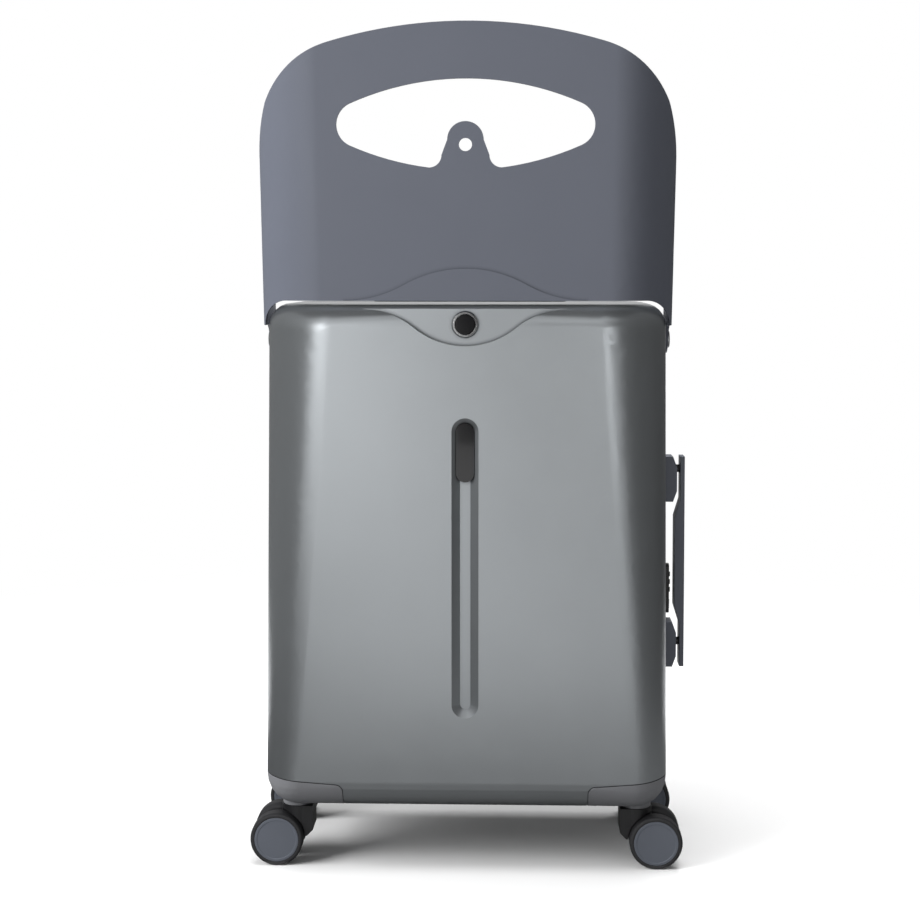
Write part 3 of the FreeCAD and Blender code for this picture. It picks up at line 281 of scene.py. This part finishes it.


# Polycarbonate sheet with metal flake, vacuum formed over a lightly blasted mould: a satin sheen that
# breaks up over a very fine grain. The grain is drawn at 0.9 mm so that it shows.
# Its crease value paints shade into the shell's narrow creases and seams.
SHELL = Finish("polycarbonate_vacuum_formed_metallic", "#9EA2A5", 0.34, metallic=0.85, ior=1.58,
               grain_mm=0.9, grain_depth_mm=0.012, mottle=0.03, uneven=0.03, coat=0.1, coat_roughness=0.25,
               crease=0.9)
# ABS moulded in a spark-eroded tool: even slate grey with a soft broad sheen.
# Its crease value paints shade into the brow step and other narrow creases.
BACKREST = Finish("abs_moulded_spark_grain_slate", "#636772", 0.52, grain_mm=0.7, grain_depth_mm=0.02,
                  mottle=0.03, crease=0.95)
# Glass-filled nylon corner caps: a little darker than the shell, dry looking.
# Its crease value paints shade into the caps' seams and creases.
CAPS = Finish("nylon_moulded_grain_mid_grey", "#88898D", 0.5, metallic=0.2, ior=1.53, grain_mm=0.8,
              grain_depth_mm=0.02, crease=0.9)
# Black acetal and nylon of the small moving parts.
BLACK = Finish("nylon_moulded_black", "#1B1B1D", 0.45, ior=1.53, grain_mm=0.6)
# Polished acrylic: deep black with a clear reflection.
GLOSS_BLACK = Finish("acrylic_polished_black", "#0C0C0E", 0.12, ior=1.49, grain_mm=3.0, grain_depth_mm=0.002,
                     uneven=0.03, coat=0.5, coat_roughness=0.04)
# Thermoplastic polyurethane tyre: dark, dull, dusty on its tread.
TYRE = Finish("polyurethane_cast_tyre", "#2B2B2D", 0.62, ior=1.5, grain_mm=0.9, grain_depth_mm=0.05,
              mottle_mm=9.0, mottle=0.2)
# ABS hub cap painted blue-grey.
HUB = Finish("abs_painted_hub_grey", "#70757F", 0.33, metallic=0.3, grain_mm=1.2, grain_depth_mm=0.01)
# Bright chrome plating on zinc.
CHROME = Finish("zinc_chrome_plated", "#D8D9DA", 0.1, metallic=1.0, grain_mm=4.0, grain_depth_mm=0.002,
                mottle=0.02, uneven=0.04)
# Zinc plated steel pins and pulls.
STEEL = Finish("steel_zinc_plated", "#9FA1A3", 0.34, metallic=1.0, grain_mm=0.7, grain_depth_mm=0.01,
               mottle=0.06, uneven=0.08)
# Drawn aluminium tube, clear anodised: fine lines along its length.
TUBE = Finish("aluminium_drawn_anodised", "#B4B6B9", 0.3, metallic=1.0, grain_mm=0.5, grain_depth_mm=0.012,
              mottle=0.04, uneven=0.07, stretch=(1.0, 1.0, 0.02))


@dataclass(frozen=True)
class Cloth(Finish):
    """A woven polyester: crossing threads as small raised cells, with a faint sheen."""

    thread_mm: float = 0.9
    thread_depth_mm: float = 0.12

    def relief(self, tree: bpy.types.NodeTree, place: bpy.types.NodeSocket) -> bpy.types.NodeSocket:
        """Threads as a regular bump.

        Args:
            tree: Node tree of the material.
            place: Coordinates in metres.

        Returns:
            The normal socket.
        """
        cells = add_node(tree, "ShaderNodeTexVoronoi", {
            "Vector": place, "Scale": 1 / (self.thread_mm * MM), "Randomness": 0.15,
        }, distance="CHEBYCHEV")
        return add_node(tree, "ShaderNodeBump", {
            "Height": cells.outputs["Distance"], "Distance": self.thread_depth_mm * MM, "Strength": 0.8,
        }, invert=True).outputs["Normal"]

    def extra(self, shader: bpy.types.Node) -> None:
        """Give the threads their sheen."""
        shader.inputs["Sheen Weight"].default_value = 0.25


# Plain weave polyester lining; its threads are drawn at 1 mm so that they show.
LINING = Cloth("polyester_woven_lining", "#4A4C52", 0.85, thread_mm=1.0, mottle=0.1, mottle_mm=20.0)
# Dense zip tape.
TAPE = Cloth("polyester_woven_zip_tape", "#2E2F33", 0.8, thread_mm=0.8, mottle=0.1, mottle_mm=8.0)

CASTERS = ("front_left", "front_right", "rear_left", "rear_right")
NODE_FINISHES: dict[str, Finish] = {
    "front_shell": SHELL, "rear_shell": SHELL, "backrest": BACKREST,
    "front_corner_caps": CAPS, "rear_corner_caps": CAPS,
    "side_handle_bar": BACKREST, "side_handle_sockets": BACKREST, "side_handle_posts": BLACK,
    "badge_plate": GLOSS_BLACK, "button_bezel": CHROME, "release_button": GLOSS_BLACK,
    "button_spring": STEEL, "side_handle_springs": STEEL, "pivot_pins": STEEL, "zip_sliders": STEEL,
    "front_swivel_pins": STEEL, "rear_swivel_pins": STEEL, "latch_rods": STEEL,
    "handle_well": BLACK, "tube_collars": BLACK, "tube_foot": BLACK, "grip": BLACK,
    "grip_button": GLOSS_BLACK,
    "outer_tubes": TUBE, "middle_tubes": TUBE, "inner_tubes": TUBE,
    "lock_housing": BLACK, "lock_catch": CHROME,
    "lock_dial_1": GLOSS_BLACK, "lock_dial_2": GLOSS_BLACK, "lock_dial_3": GLOSS_BLACK,
    "front_lining": LINING, "rear_lining": LINING,
    "front_zip_tape": TAPE, "rear_zip_tape": TAPE, "hinge_tape": TAPE,
    **{f"{caster}_fork": BLACK for caster in CASTERS},
    **{f"{caster}_axle": STEEL for caster in CASTERS},
    **{f"{caster}_{wheel}_tyre": TYRE for caster in CASTERS for wheel in ("fore", "aft")},
    **{f"{caster}_{wheel}_hub_cap": HUB for caster in CASTERS for wheel in ("fore", "aft")},
}


@dataclass
class CadDress:
    """Finishes and edge rounding of the CAD nodes that stay in view."""

    weld: float = 0.01 * MM
    edge_round: float = 0.5 * MM
    edge_segments: int = 2
    smooth_angle: float = math.radians(32)
    fine_nodes: tuple[str, ...] = ("lock_housing", "lock_catch", "zip_sliders", "grip_button", "badge_plate",
                                   "button_bezel", "release_button", "tube_collars")
    fine_round: float = 0.25 * MM

    def dress(self, name: str, finish: Finish) -> None:
        """Give one node its finish, smooth shading and rounded edges.

        Args:
            name: CAD node.
            finish: Finish that it takes.
        """
        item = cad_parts[name]
        item.data.materials.clear()
        item.data.materials.append(finish.material())
        item.data.shade_smooth()
        stale = item.data.attributes.get("custom_normal")
        if stale:
            item.data.attributes.remove(stale)
        welded = item.modifiers.new("weld", "WELD")
        welded.merge_threshold = self.weld
        edges = item.modifiers.new("edges", "BEVEL")
        edges.width = self.fine_round if name in self.fine_nodes else self.edge_round
        edges.segments = self.edge_segments
        edges.limit_method = "ANGLE"
        edges.angle_limit = self.smooth_angle
        edges.harden_normals = False
        edges.use_clamp_overlap = True
        normals = item.modifiers.new("normals", "WEIGHTED_NORMAL")
        normals.keep_sharp = True

    def build(self) -> None:
        """Dress every CAD node."""
        for name, finish in NODE_FINISHES.items():
            self.dress(name, finish)
        log.info("dressed %d CAD nodes", len(NODE_FINISHES))


def new_piece(name: str, verts: Sequence[Point], faces: Sequence[Sequence[int]], finish: Finish) -> bpy.types.Object:
    """Make one smooth mesh piece with a finish.

    Args:
        name: Name of the piece.
        verts: Its points.
        faces: Its faces as point numbers.
        finish: Finish of the whole piece.

    Returns:
        The piece, linked to the scene.
    """
    mesh = bpy.data.meshes.new(name)
    mesh.from_pydata(verts, [], faces)
    shape = bmesh.new()
    shape.from_mesh(mesh)
    bmesh.ops.remove_doubles(shape, verts=shape.verts, dist=POINT_MERGE)
    bmesh.ops.recalc_face_normals(shape, faces=shape.faces)
    shape.to_mesh(mesh)
    shape.free()
    mesh.shade_smooth()
    mesh.materials.append(finish.material())
    return add_object(name, mesh)


def ease(low: float, high: float, value: float) -> float:
    """Smooth step from zero at low to one at high."""
    t = min(max((value - low) / (high - low), 0.0), 1.0)
    return t * t * (3 - 2 * t)


@dataclass
class Case:
    """Outer skin of the case, as the CAD model has it."""

    half_width: float = 197 * MM
    half_depth: float = 110 * MM
    seam: float = 31 * MM
    floor: float = 62 * MM
    top: float = 555 * MM
    corner_low: float = 33 * MM
    corner_high: float = 70 * MM
    top_edge: float = 22 * MM
    bottom_edge: float = 30 * MM

    def seam_path(self, inset: float, spacing: float) -> list[tuple[float, float, float, float]]:
        """Walk round the case at the seam.

        Args:
            inset: Distance inside the skin.
            spacing: Distance between points.

        Returns:
            Points as x, z and the outward normal's x, z.
        """
        wide = self.half_width - inset
        corners = []
        for side_x, z, edge, start in (
                (1, self.floor, self.bottom_edge, -90), (1, self.top, self.top_edge, 0),
                (-1, self.top, self.top_edge, 90), (-1, self.floor, self.bottom_edge, 180)):
            radius = edge - inset
            up = 1 if z == self.floor else -1
            corners.append((side_x * (wide - radius), z + up * (inset + radius), radius, start))
        path: list[tuple[float, float, float, float]] = []
        for index, (x, z, radius, start) in enumerate(corners):
            steps = max(round(radius * math.pi / 2 / spacing), 4)
            for step in range(steps + 1):
                angle = math.radians(start + 90 * step / steps)
                path.append((x + radius * math.cos(angle), z + radius * math.sin(angle),
                             math.cos(angle), math.sin(angle)))
            next_x, next_z, next_radius, next_start = corners[(index + 1) % len(corners)]
            angle = math.radians(next_start)
            end = (next_x + next_radius * math.cos(angle), next_z + next_radius * math.sin(angle))
            here = path[-1]
            count = max(round(math.dist(here[:2], end) / spacing), 1)
            for step in range(1, count):
                t = step / count
                path.append((here[0] + (end[0] - here[0]) * t, here[1] + (end[1] - here[1]) * t,
                             math.cos(angle), math.sin(angle)))
        return path


@dataclass
class Zip:
    """One half of the zip: woven tape and its row of teeth, round the rim of one half."""

    case: Case
    half: int
    inset: float = 1 * MM
    tape_step: float = 8 * MM
    tooth_pitch: float = 3 * MM
    tooth_length: float = 1.7 * MM
    profile_mm: tuple[tuple[float, float], ...] = (
        (-0.5, 1.9), (-0.05, 2.1), (0.0, 2.6), (-0.1, 3.4), (0.0, 4.3), (-0.2, 4.9), (-1.8, 4.9), (-1.8, 1.9))
    tooth_mm: tuple[tuple[float, float], ...] = (
        (-1.1, 0.45), (-0.3, 0.45), (0.15, 0.9), (0.15, 1.7), (-0.3, 2.3), (-1.1, 2.3))
    tooth_middle_mm: tuple[float, float] = (-0.5, 1.35)
    tooth_rings: tuple[tuple[float, float], ...] = ((-0.5, 0.72), (-0.3, 1.0), (0.3, 1.0), (0.5, 0.72))

    def sweep(self, name: str) -> bpy.types.Object:
        """Sweep the tape's section round the seam.

        Args:
            name: Name of the piece.

        Returns:
            The tape.
        """
        path = self.case.seam_path(self.inset, self.tape_step)
        count = len(self.profile_mm)
        verts, faces = [], []
        for x, z, nx, nz in path:
            for out, back in self.profile_mm:
                verts.append((x + nx * out * MM, self.case.seam + self.half * back * MM, z + nz * out * MM))
        for i in range(len(path)):
            j = (i + 1) % len(path)
            for k in range(count):
                m = (k + 1) % count
                faces.append((i * count + k, j * count + k, j * count + m, i * count + m))
        return new_piece(name, verts, faces, TAPE)

    def teeth(self, name: str) -> bpy.types.Object:
        """Set the teeth side by side round the seam; the two halves' teeth stand in each other's gaps.

        Args:
            name: Name of the piece.

        Returns:
            The row of teeth.
        """
        count, last = len(self.tooth_mm), len(self.tooth_rings) - 1
        middle = self.tooth_pitch / 2 if self.half > 0 else 0.0
        mid_out, mid_back = self.tooth_middle_mm
        verts, faces = [], []
        for x, z, nx, nz in self.case.seam_path(self.inset, self.tooth_pitch):
            base = len(verts)
            for reach, shrink in self.tooth_rings:
                shift = middle + reach * self.tooth_length
                for out, back in self.tooth_mm:
                    o = (mid_out + (out - mid_out) * shrink) * MM
                    b = (mid_back + (back - mid_back) * shrink) * MM
                    verts.append((x + nx * o - nz * shift, self.case.seam + self.half * b,
                                  z + nz * o + nx * shift))
            for ring in range(last):
                for k in range(count):
                    m = (k + 1) % count
                    a = base + ring * count
                    faces.append((a + k, a + count + k, a + count + m, a + m))
            faces.append(tuple(range(base, base + count)))
            faces.append(tuple(range(base + last * count, base + (last + 1) * count)))
        return new_piece(name, verts, faces, BLACK)

    def build(self) -> None:
        """Make the tape and the teeth and ride them on their half."""
        word, body = half_names(self.half)
        tape = self.sweep(f"{word}_zip_cloth")
        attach(tape, body.value)
        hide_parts(f"{word}_zip_tape")
        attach(self.teeth(f"{word}_zip_teeth"), body.value)
        log.info("%s zip", word)


@dataclass
class Bump:
    """Something solid that a lining lies over."""

    place: Point
    reach: Point
    rise: float
    slope: float

    def height(self, point: Point) -> float:
        """How far the cloth stands off at a point."""
        gap = math.hypot(*(max(abs(p - c) - r, 0.0) for p, c, r in zip(point, self.place, self.reach)))
        return self.rise * (1 - ease(0.0, self.slope, gap))


@dataclass
class Lining:
    """Woven lining of one half: one cloth laid against the shell and over what stands out of it.

    A lining with a plane is stretched flat there, in front of the pull handle's tubes, and steps
    towards the seam below the handle's well.
    """

    case: Case
    half: int
    inset: float = 4 * MM
    rim: float = 5.5 * MM
    plane: float | None = None
    step_low: float = 486 * MM
    step_high: float = 510 * MM
    step_plane: float = 40.5 * MM
    rim_rows: int = 6
    wall_rows: int = 40
    flat_rows: int = 8
    side_columns: int = 10
    corner_columns: int = 10
    face_columns: int = 36
    crease: float = 0.7 * MM
    crease_mm: float = 28.0
    thickness: float = 0.6 * MM
    bend_share: float = 0.98
    least_bend: float = 0.02 * MM
    rim_hold: float = 0.5 * MM
    bumps: tuple[Bump, ...] = ()

    def depth(self, height: float, draw: float) -> float:
        """Distance from the cloth's rim to its face, before the flat ends take it away.

        Args:
            height: Height of a row.
            draw: Distance that the case's rim draws the row in.

        Returns:
            The distance.
        """
        start = self.half * self.case.seam + self.rim
        if self.plane is None:
            return self.case.half_depth - self.inset - draw - start
        step = (self.plane - self.step_plane) * ease(self.step_low, self.step_high, height)
        return self.plane - step - start

    def levels(self) -> list[tuple[float, float, float]]:
        """Heights of the rows, how far each is drawn in, and its depth behind the rim.

        Returns:
            Triples of height, draw and depth.
        """
        low, high = self.case.floor + self.inset, self.case.top - self.inset
        bottom, top = self.case.bottom_edge - self.inset, self.case.top_edge - self.inset
        quarter = [math.pi / 2 * step / self.rim_rows for step in range(self.rim_rows + 1)]
        rows = [(low + bottom * (1 - math.sin(a)), bottom * (1 - math.cos(a))) for a in reversed(quarter)]
        first, last = low + bottom, high - top
        rows += [(first + (last - first) * step / self.wall_rows, 0.0) for step in range(1, self.wall_rows)]
        rows += [(high - top * (1 - math.sin(a)), top * (1 - math.cos(a))) for a in quarter]
        deep = [(height, draw, self.depth(height, draw)) for height, draw in rows]
        ends = []
        for height, draw, depth in (deep[0], deep[-1]):
            shares = [step / self.flat_rows for step in range(1, self.flat_rows + 1)]
            ends.append([(height, draw + depth * share, depth * (1 - share)) for share in shares])
        return ends[0][::-1] + deep + ends[1]

    def row(self, height: float, draw: float, depth: float) -> list[tuple[float, float]]:
        """Plan of one row: side, corner, face, corner, side.

        Args:
            height: Height of the row.
            draw: Distance that it is drawn in.
            depth: Distance from the rim to the face.

        Returns:
            Points as x and y.
        """
        case = self.case
        grown = (height - case.floor) / (case.top - case.floor)
        corner = case.corner_low + (case.corner_high - case.corner_low) * grown
        wide = case.half_width - self.inset - draw
        start = case.seam + self.half * self.rim
        face = start + self.half * depth
        bend = max(min(corner - self.inset - draw, depth * self.bend_share), self.least_bend)
        turn = face - self.half * bend
        run = wide - bend
        sides, faces = self.side_columns, self.face_columns
        angles = [math.pi / 2 * i / self.corner_columns for i in range(self.corner_columns)]
        points = [(-wide, start + (turn - start) * i / sides) for i in range(sides)]
        points += [(-run - bend * math.cos(a), turn + self.half * bend * math.sin(a)) for a in angles]
        points += [(-run + 2 * run * i / faces, face) for i in range(faces)]
        points += [(run + bend * math.sin(a), turn + self.half * bend * math.cos(a)) for a in angles]
        points += [(wide, turn + (start - turn) * i / sides) for i in range(sides + 1)]
        return points

    def build(self) -> None:
        """Lay the cloth, lift it over the bumps, crease it a little and give it its thickness."""
        word, body = half_names(self.half)
        rows = [[(x, y, z) for x, y in self.row(z, draw, depth)] for z, draw, depth in self.levels()]
        count = len(rows[0])
        verts = [point for row in rows for point in row]
        faces = [(r * count + c, r * count + c + 1, (r + 1) * count + c + 1, (r + 1) * count + c)
                 for r in range(len(rows) - 1) for c in range(count - 1)]
        cloth = new_piece(f"{word}_lining_cloth", verts, faces, LINING)
        start = self.case.seam + self.half * self.rim
        centre = Vector((0.0, start, (self.case.floor + self.case.top) / 2))
        mesh = cloth.data
        facing = sum(vert.normal.dot(centre - vert.co) for vert in mesh.vertices)
        flip = 1.0 if facing > 0 else -1.0
        moves = []
        for vert in mesh.vertices:
            lift = max((bump.height(tuple(vert.co)) for bump in self.bumps), default=0.0)
            folds = noise.noise(vert.co / (self.crease_mm * MM)) * 0.5 + 0.5
            moves.append(vert.normal * flip * (lift + self.crease * folds))
        for vert, move in zip(mesh.vertices, moves):
            if abs(vert.co.y - start) > self.rim_hold:
                vert.co += move
        if flip < 0:
            mesh.flip_normals()
        thick = cloth.modifiers.new("cloth", "SOLIDIFY")
        thick.thickness = self.thickness
        thick.offset = 1.0
        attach(cloth, body.value)
        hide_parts(f"{word}_lining")
        depth = self.depth(self.case.floor, 0.0)


# Bosses of the caster stems in each half.
STEM_X = (-0.168, 0.168)
FRONT_BOSSES = tuple(Bump((x, -0.065, 0.066), (0.016, 0.016, 0.02), 6.0 * MM, 14 * MM) for x in STEM_X)
REAR_BOSSES = tuple(Bump((x, 0.065, 0.066), (0.016, 0.016, 0.006), 6.0 * MM, 14 * MM) for x in STEM_X)
# Plane of the rear lining, just in front of the pull handle's tubes.
REAR_PLANE = 59.2 * MM
# Backs of the groove, of the finger recess and of the button's cup, roots of the carry handle's sockets
# and flanges of the pivots.
FRONT_BUMPS = (
    *FRONT_BOSSES,
    Bump((0.0, -0.106, 0.3005), (0.017, 0.02, 0.15), 6.5 * MM, 22 * MM),
    Bump((0.0, -0.106, 0.537), (0.12, 0.02, 0.027), 9.5 * MM, 25 * MM),
    Bump((0.0, -0.1, 0.5355), (0.014, 0.02, 0.014), 19.0 * MM, 25 * MM),
    Bump((0.192, 0.002, 0.385), (0.02, 0.012, 0.012), 9.0 * MM, 22 * MM),
    Bump((0.192, 0.002, 0.2065), (0.02, 0.012, 0.012), 9.0 * MM, 22 * MM),
    Bump((0.192, 0.012, 0.517), (0.02, 0.014, 0.014), 3.5 * MM, 16 * MM),
    Bump((-0.192, 0.012, 0.517), (0.02, 0.014, 0.014), 3.5 * MM, 16 * MM),
)


@dataclass
class ClothHinge:
    """Strip of webbing glued across the seam on the left wall."""

    case: Case
    low: float = 117 * MM
    high: float = 505 * MM
    reach: float = 12 * MM
    lift: float = 0.15 * MM
    thickness: float = 0.8 * MM
    columns: int = 24
    rows: int = 60
    turn: float = 4 * MM

    def build(self) -> None:
        """Lay the strip flat across the seam."""
        x = -self.case.half_width - self.lift
        verts, faces = [], []
        for r in range(self.rows + 1):
            z = self.low + (self.high - self.low) * r / self.rows
            for c in range(self.columns + 1):
                y = self.case.seam - self.reach + 2 * self.reach * c / self.columns
                verts.append((x, y, z))
        wide = self.columns + 1
        for r in range(self.rows):
            for c in range(self.columns):
                a = r * wide + c
                faces.append((a, a + 1, a + wide + 1, a + wide))
        strip = new_piece("hinge_webbing", verts, faces, TAPE)
        if strip.data.polygons[0].normal.x > 0:
            strip.data.flip_normals()
        thick = strip.modifiers.new("webbing", "SOLIDIFY")
        thick.thickness = self.thickness
        thick.offset = 1.0
        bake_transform(strip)
        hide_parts("hinge_tape")
        log.info("cloth hinge")


@dataclass(frozen=True)
class Lamp:
    """A soft square lamp that faces a point; its side is in metres and its power in watts."""

    name: str
    place: Point
    target: Point
    side: float
    power: float
    rays: Rays

    def build(self) -> None:
        """Hang the lamp."""
        light = bpy.data.lights.new(self.name, "AREA")
        light.size = self.side
        light.energy = self.power
        item = add_object(self.name, light)
        item.location = self.place
        aim = Vector(self.target) - Vector(self.place)
        item.rotation_euler = aim.to_track_quat("-Z", "Y").to_euler()
        item.visible_diffuse = self.rays is Rays.SOFT
        item.visible_glossy = self.rays is Rays.SHINE


@dataclass(frozen=True)
class Flag:
    """A cloth card that only reflections see; it gives the metallic shell its darker edges."""

    name: str
    place: Point
    target: Point
    size: tuple[float, float]
    shade: str

    def build(self) -> None:
        """Stand the card up and keep it out of the object."""
        wide, high = self.size[0] / 2, self.size[1] / 2
        corners = [(-wide, -high, 0), (wide, -high, 0), (wide, high, 0), (-wide, high, 0)]
        mesh = bpy.data.meshes.new(self.name)
        mesh.from_pydata(corners, [], [(0, 1, 2, 3)])
        item = add_object(self.name, mesh)
        item.location = self.place
        aim = Vector(self.target) - Vector(self.place)
        item.rotation_euler = aim.to_track_quat("Z", "Y").to_euler()
        material = blank_material(f"{self.name}_velvet")
        velvet = add_node(material.node_tree, "ShaderNodeBsdfDiffuse", {"Color": linear(self.shade)})
        add_node(material.node_tree, "ShaderNodeOutputMaterial", {"Surface": velvet.outputs[0]})
        mesh.materials.append(material)
        item.visible_camera = item.visible_diffuse = False
        item.visible_shadow = item.visible_transmission = False


LAMPS = (
    Lamp("side_key", (-2.2, -1.1, 1.55), (0.0, 0.0, 0.5), 1.7, 94.0, Rays.SOFT),
    Lamp("fill", (1.2, -2.4, 1.2), (0.0, 0.0, 0.4), 1.4, 1.5, Rays.SOFT),
    Lamp("top", (0.0, -0.2, 2.6), (0.0, 0.0, 0.0), 1.6, 44.0, Rays.SOFT),
    Lamp("back", (0.5, 1.5, 2.9), (0.0, 0.1, 0.4), 0.9, 48.0, Rays.SOFT),
    Lamp("left_streak", (-0.95, -2.1, 0.85), (0.0, -0.1, 0.45), 0.6, 7.0, Rays.SHINE),
    Lamp("left_glow", (-0.4, -2.2, 0.22), (-0.08, -0.11, 0.4), 0.4, 1.0, Rays.SHINE),
    Lamp("right_streak", (0.8, -2.3, 0.5), (0.1, -0.1, 0.4), 0.4, 6.0, Rays.SHINE),
)
FLAGS = (
    Flag("left_flag", (-0.85, 0.5, 0.6), (0.0, 0.5, 0.6), (2.8, 1.6), "#8C8C8C"),
    Flag("right_flag", (0.75, 0.6, 0.6), (0.0, 0.6, 0.6), (3.2, 1.6), "#5A5A5A"),
    Flag("front_right_flag", (0.95, -1.5, 0.6), (0.0, 0.0, 0.5), (0.8, 1.6), "#0A0A0A"),
    Flag("camera_flag", (0.42, -2.9, 0.75), (0.0, 0.0, 0.5), (1.1, 1.3), "#0A0A0A"),
    Flag("floor_flag", (0.0, -0.2, 0.004), (0.0, -0.2, 1.0), (2.4, 1.04), "#767676"),
    Flag("left_floor_flag", (-0.75, -0.75, 0.007), (-0.75, -0.75, 1.0), (0.9, 2.0), "#2A2A2A"),
    Flag("right_floor_flag", (0.6, -2.3, 0.005), (0.6, -2.3, 1.0), (0.9, 2.4), "#909090"),
    Flag("top_flag", (0.0, 0.45, 1.3), (0.0, 0.45, 0.0), (2.4, 2.4), "#0A0A0A"),
)


@dataclass
class Studio:
    """Pale floor, white surroundings, lamps, flags and the camera of the photograph."""

    floor_radius: float = 9.0
    floor_segments: int = 96
    floor_near: float = 0.55
    floor_far: float = 1.5
    floor_seen: str = "#F4F4F4"
    floor_bounce: str = "#858585"
    ambient: float = 0.27
    lens: float = 61.6
    height: float = 0.585
    distance: float = 1.5
    azimuth: float = math.radians(1.75)
    pitch: float = math.radians(3.0)
    front_face: float = -0.11
    shift: tuple[float, float] = (-0.0054, -0.1138)

    def sight_rays(self, tree: bpy.types.NodeTree) -> bpy.types.NodeSocket:
        """One for rays that show a surface to the eye: direct, mirrored or passed through.

        Args:
            tree: Node tree that takes the nodes.

        Returns:
            The value socket.
        """
        path = add_node(tree, "ShaderNodeLightPath")
        shown = add_node(tree, "ShaderNodeMath", {
            0: path.outputs["Is Camera Ray"], 1: path.outputs["Is Glossy Ray"]}, operation="MAXIMUM")
        return add_node(tree, "ShaderNodeMath", {
            0: shown.outputs[0], 1: path.outputs["Is Transmission Ray"]}, operation="MAXIMUM").outputs[0]

    def sky(self) -> None:
        """Even white surroundings that light the object at a plain level."""
        world = bpy.data.worlds.new("white_surroundings")
        world.use_nodes = True
        tree = world.node_tree
        tree.nodes.clear()
        level = add_node(tree, "ShaderNodeMapRange", {
            "Value": self.sight_rays(tree), "To Min": self.ambient, "To Max": 1.0})
        light = add_node(tree, "ShaderNodeBackground", {
            "Color": WHITE, "Strength": level.outputs["Result"]})
        add_node(tree, "ShaderNodeOutputWorld", {"Surface": light.outputs[0]})
        bpy.context.scene.world = world

    def floor_paint(self) -> bpy.types.Material:
        """Matt paint that keeps the shadow near the object and runs out to white.

        Returns:
            The paint, which throws less light back at the object than it shows.
        """
        material = blank_material("floor_matt_white_paint")
        tree = material.node_tree
        sight = self.sight_rays(tree)
        place = add_node(tree, "ShaderNodeTexCoord").outputs["Object"]
        reach = add_node(tree, "ShaderNodeVectorMath", {0: place}, operation="LENGTH")
        fade = add_node(tree, "ShaderNodeMapRange", {
            "Value": reach.outputs["Value"], "From Min": self.floor_near, "From Max": self.floor_far},
            interpolation_type="SMOOTHSTEP")
        seen = add_node(tree, "ShaderNodeMath", {0: fade.outputs["Result"], 1: sight}, operation="MULTIPLY")
        shade = add_node(tree, "ShaderNodeMix", {
            0: sight, 6: linear(self.floor_bounce), 7: linear(self.floor_seen)}, data_type="RGBA")
        paint = add_node(tree, "ShaderNodeBsdfDiffuse", {"Color": shade.outputs[2]})
        glow = add_node(tree, "ShaderNodeEmission", {"Color": WHITE, "Strength": 1.0})
        mixed = add_node(tree, "ShaderNodeMixShader", {
            0: seen.outputs[0], 1: paint.outputs[0], 2: glow.outputs[0]})
        add_node(tree, "ShaderNodeOutputMaterial", {"Surface": mixed.outputs[0]})
        return material

    def floor(self) -> None:
        """Lay the round floor."""
        mesh = bpy.data.meshes.new("studio_floor")
        shape = bmesh.new()
        bmesh.ops.create_circle(shape, cap_ends=True, radius=self.floor_radius,
                                segments=self.floor_segments)
        shape.to_mesh(mesh)
        shape.free()
        mesh.materials.append(self.floor_paint())
        add_object("studio_floor", mesh)

    def camera(self) -> None:
        """Camera in front of the case at lid height, tipped down a little."""
        lens = bpy.data.cameras.new("camera")
        lens.lens = self.lens
        lens.shift_x, lens.shift_y = self.shift
        item = add_object("camera", lens)
        item.location = (self.distance * math.sin(self.azimuth),
                         self.front_face - self.distance * math.cos(self.azimuth), self.height)
        item.rotation_euler = (math.pi / 2 - self.pitch, 0.0, self.azimuth)
        bpy.context.scene.camera = item

    def build(self) -> None:
        """Set up everything that isn't the object."""
        bpy.context.scene.view_settings.view_transform = "Standard"
        self.sky()
        self.floor()
        for stand in (*LAMPS, *FLAGS):
            stand.build()
        self.camera()
        log.info("studio is set with %d lamps", len(LAMPS))


def main() -> None:
    """Build every piece in order."""
    logging.basicConfig(level=logging.INFO, format="%(name)s: %(message)s")
    case = Case()
    Studio().build()
    CadDress().build()
    for half in (-1, 1):
        Zip(case, half).build()
    Lining(case, -1, bumps=FRONT_BUMPS).build()
    Lining(case, 1, plane=REAR_PLANE, bumps=REAR_BOSSES).build()
    ClothHinge(case).build()


if __name__ == "__main__":
    main()
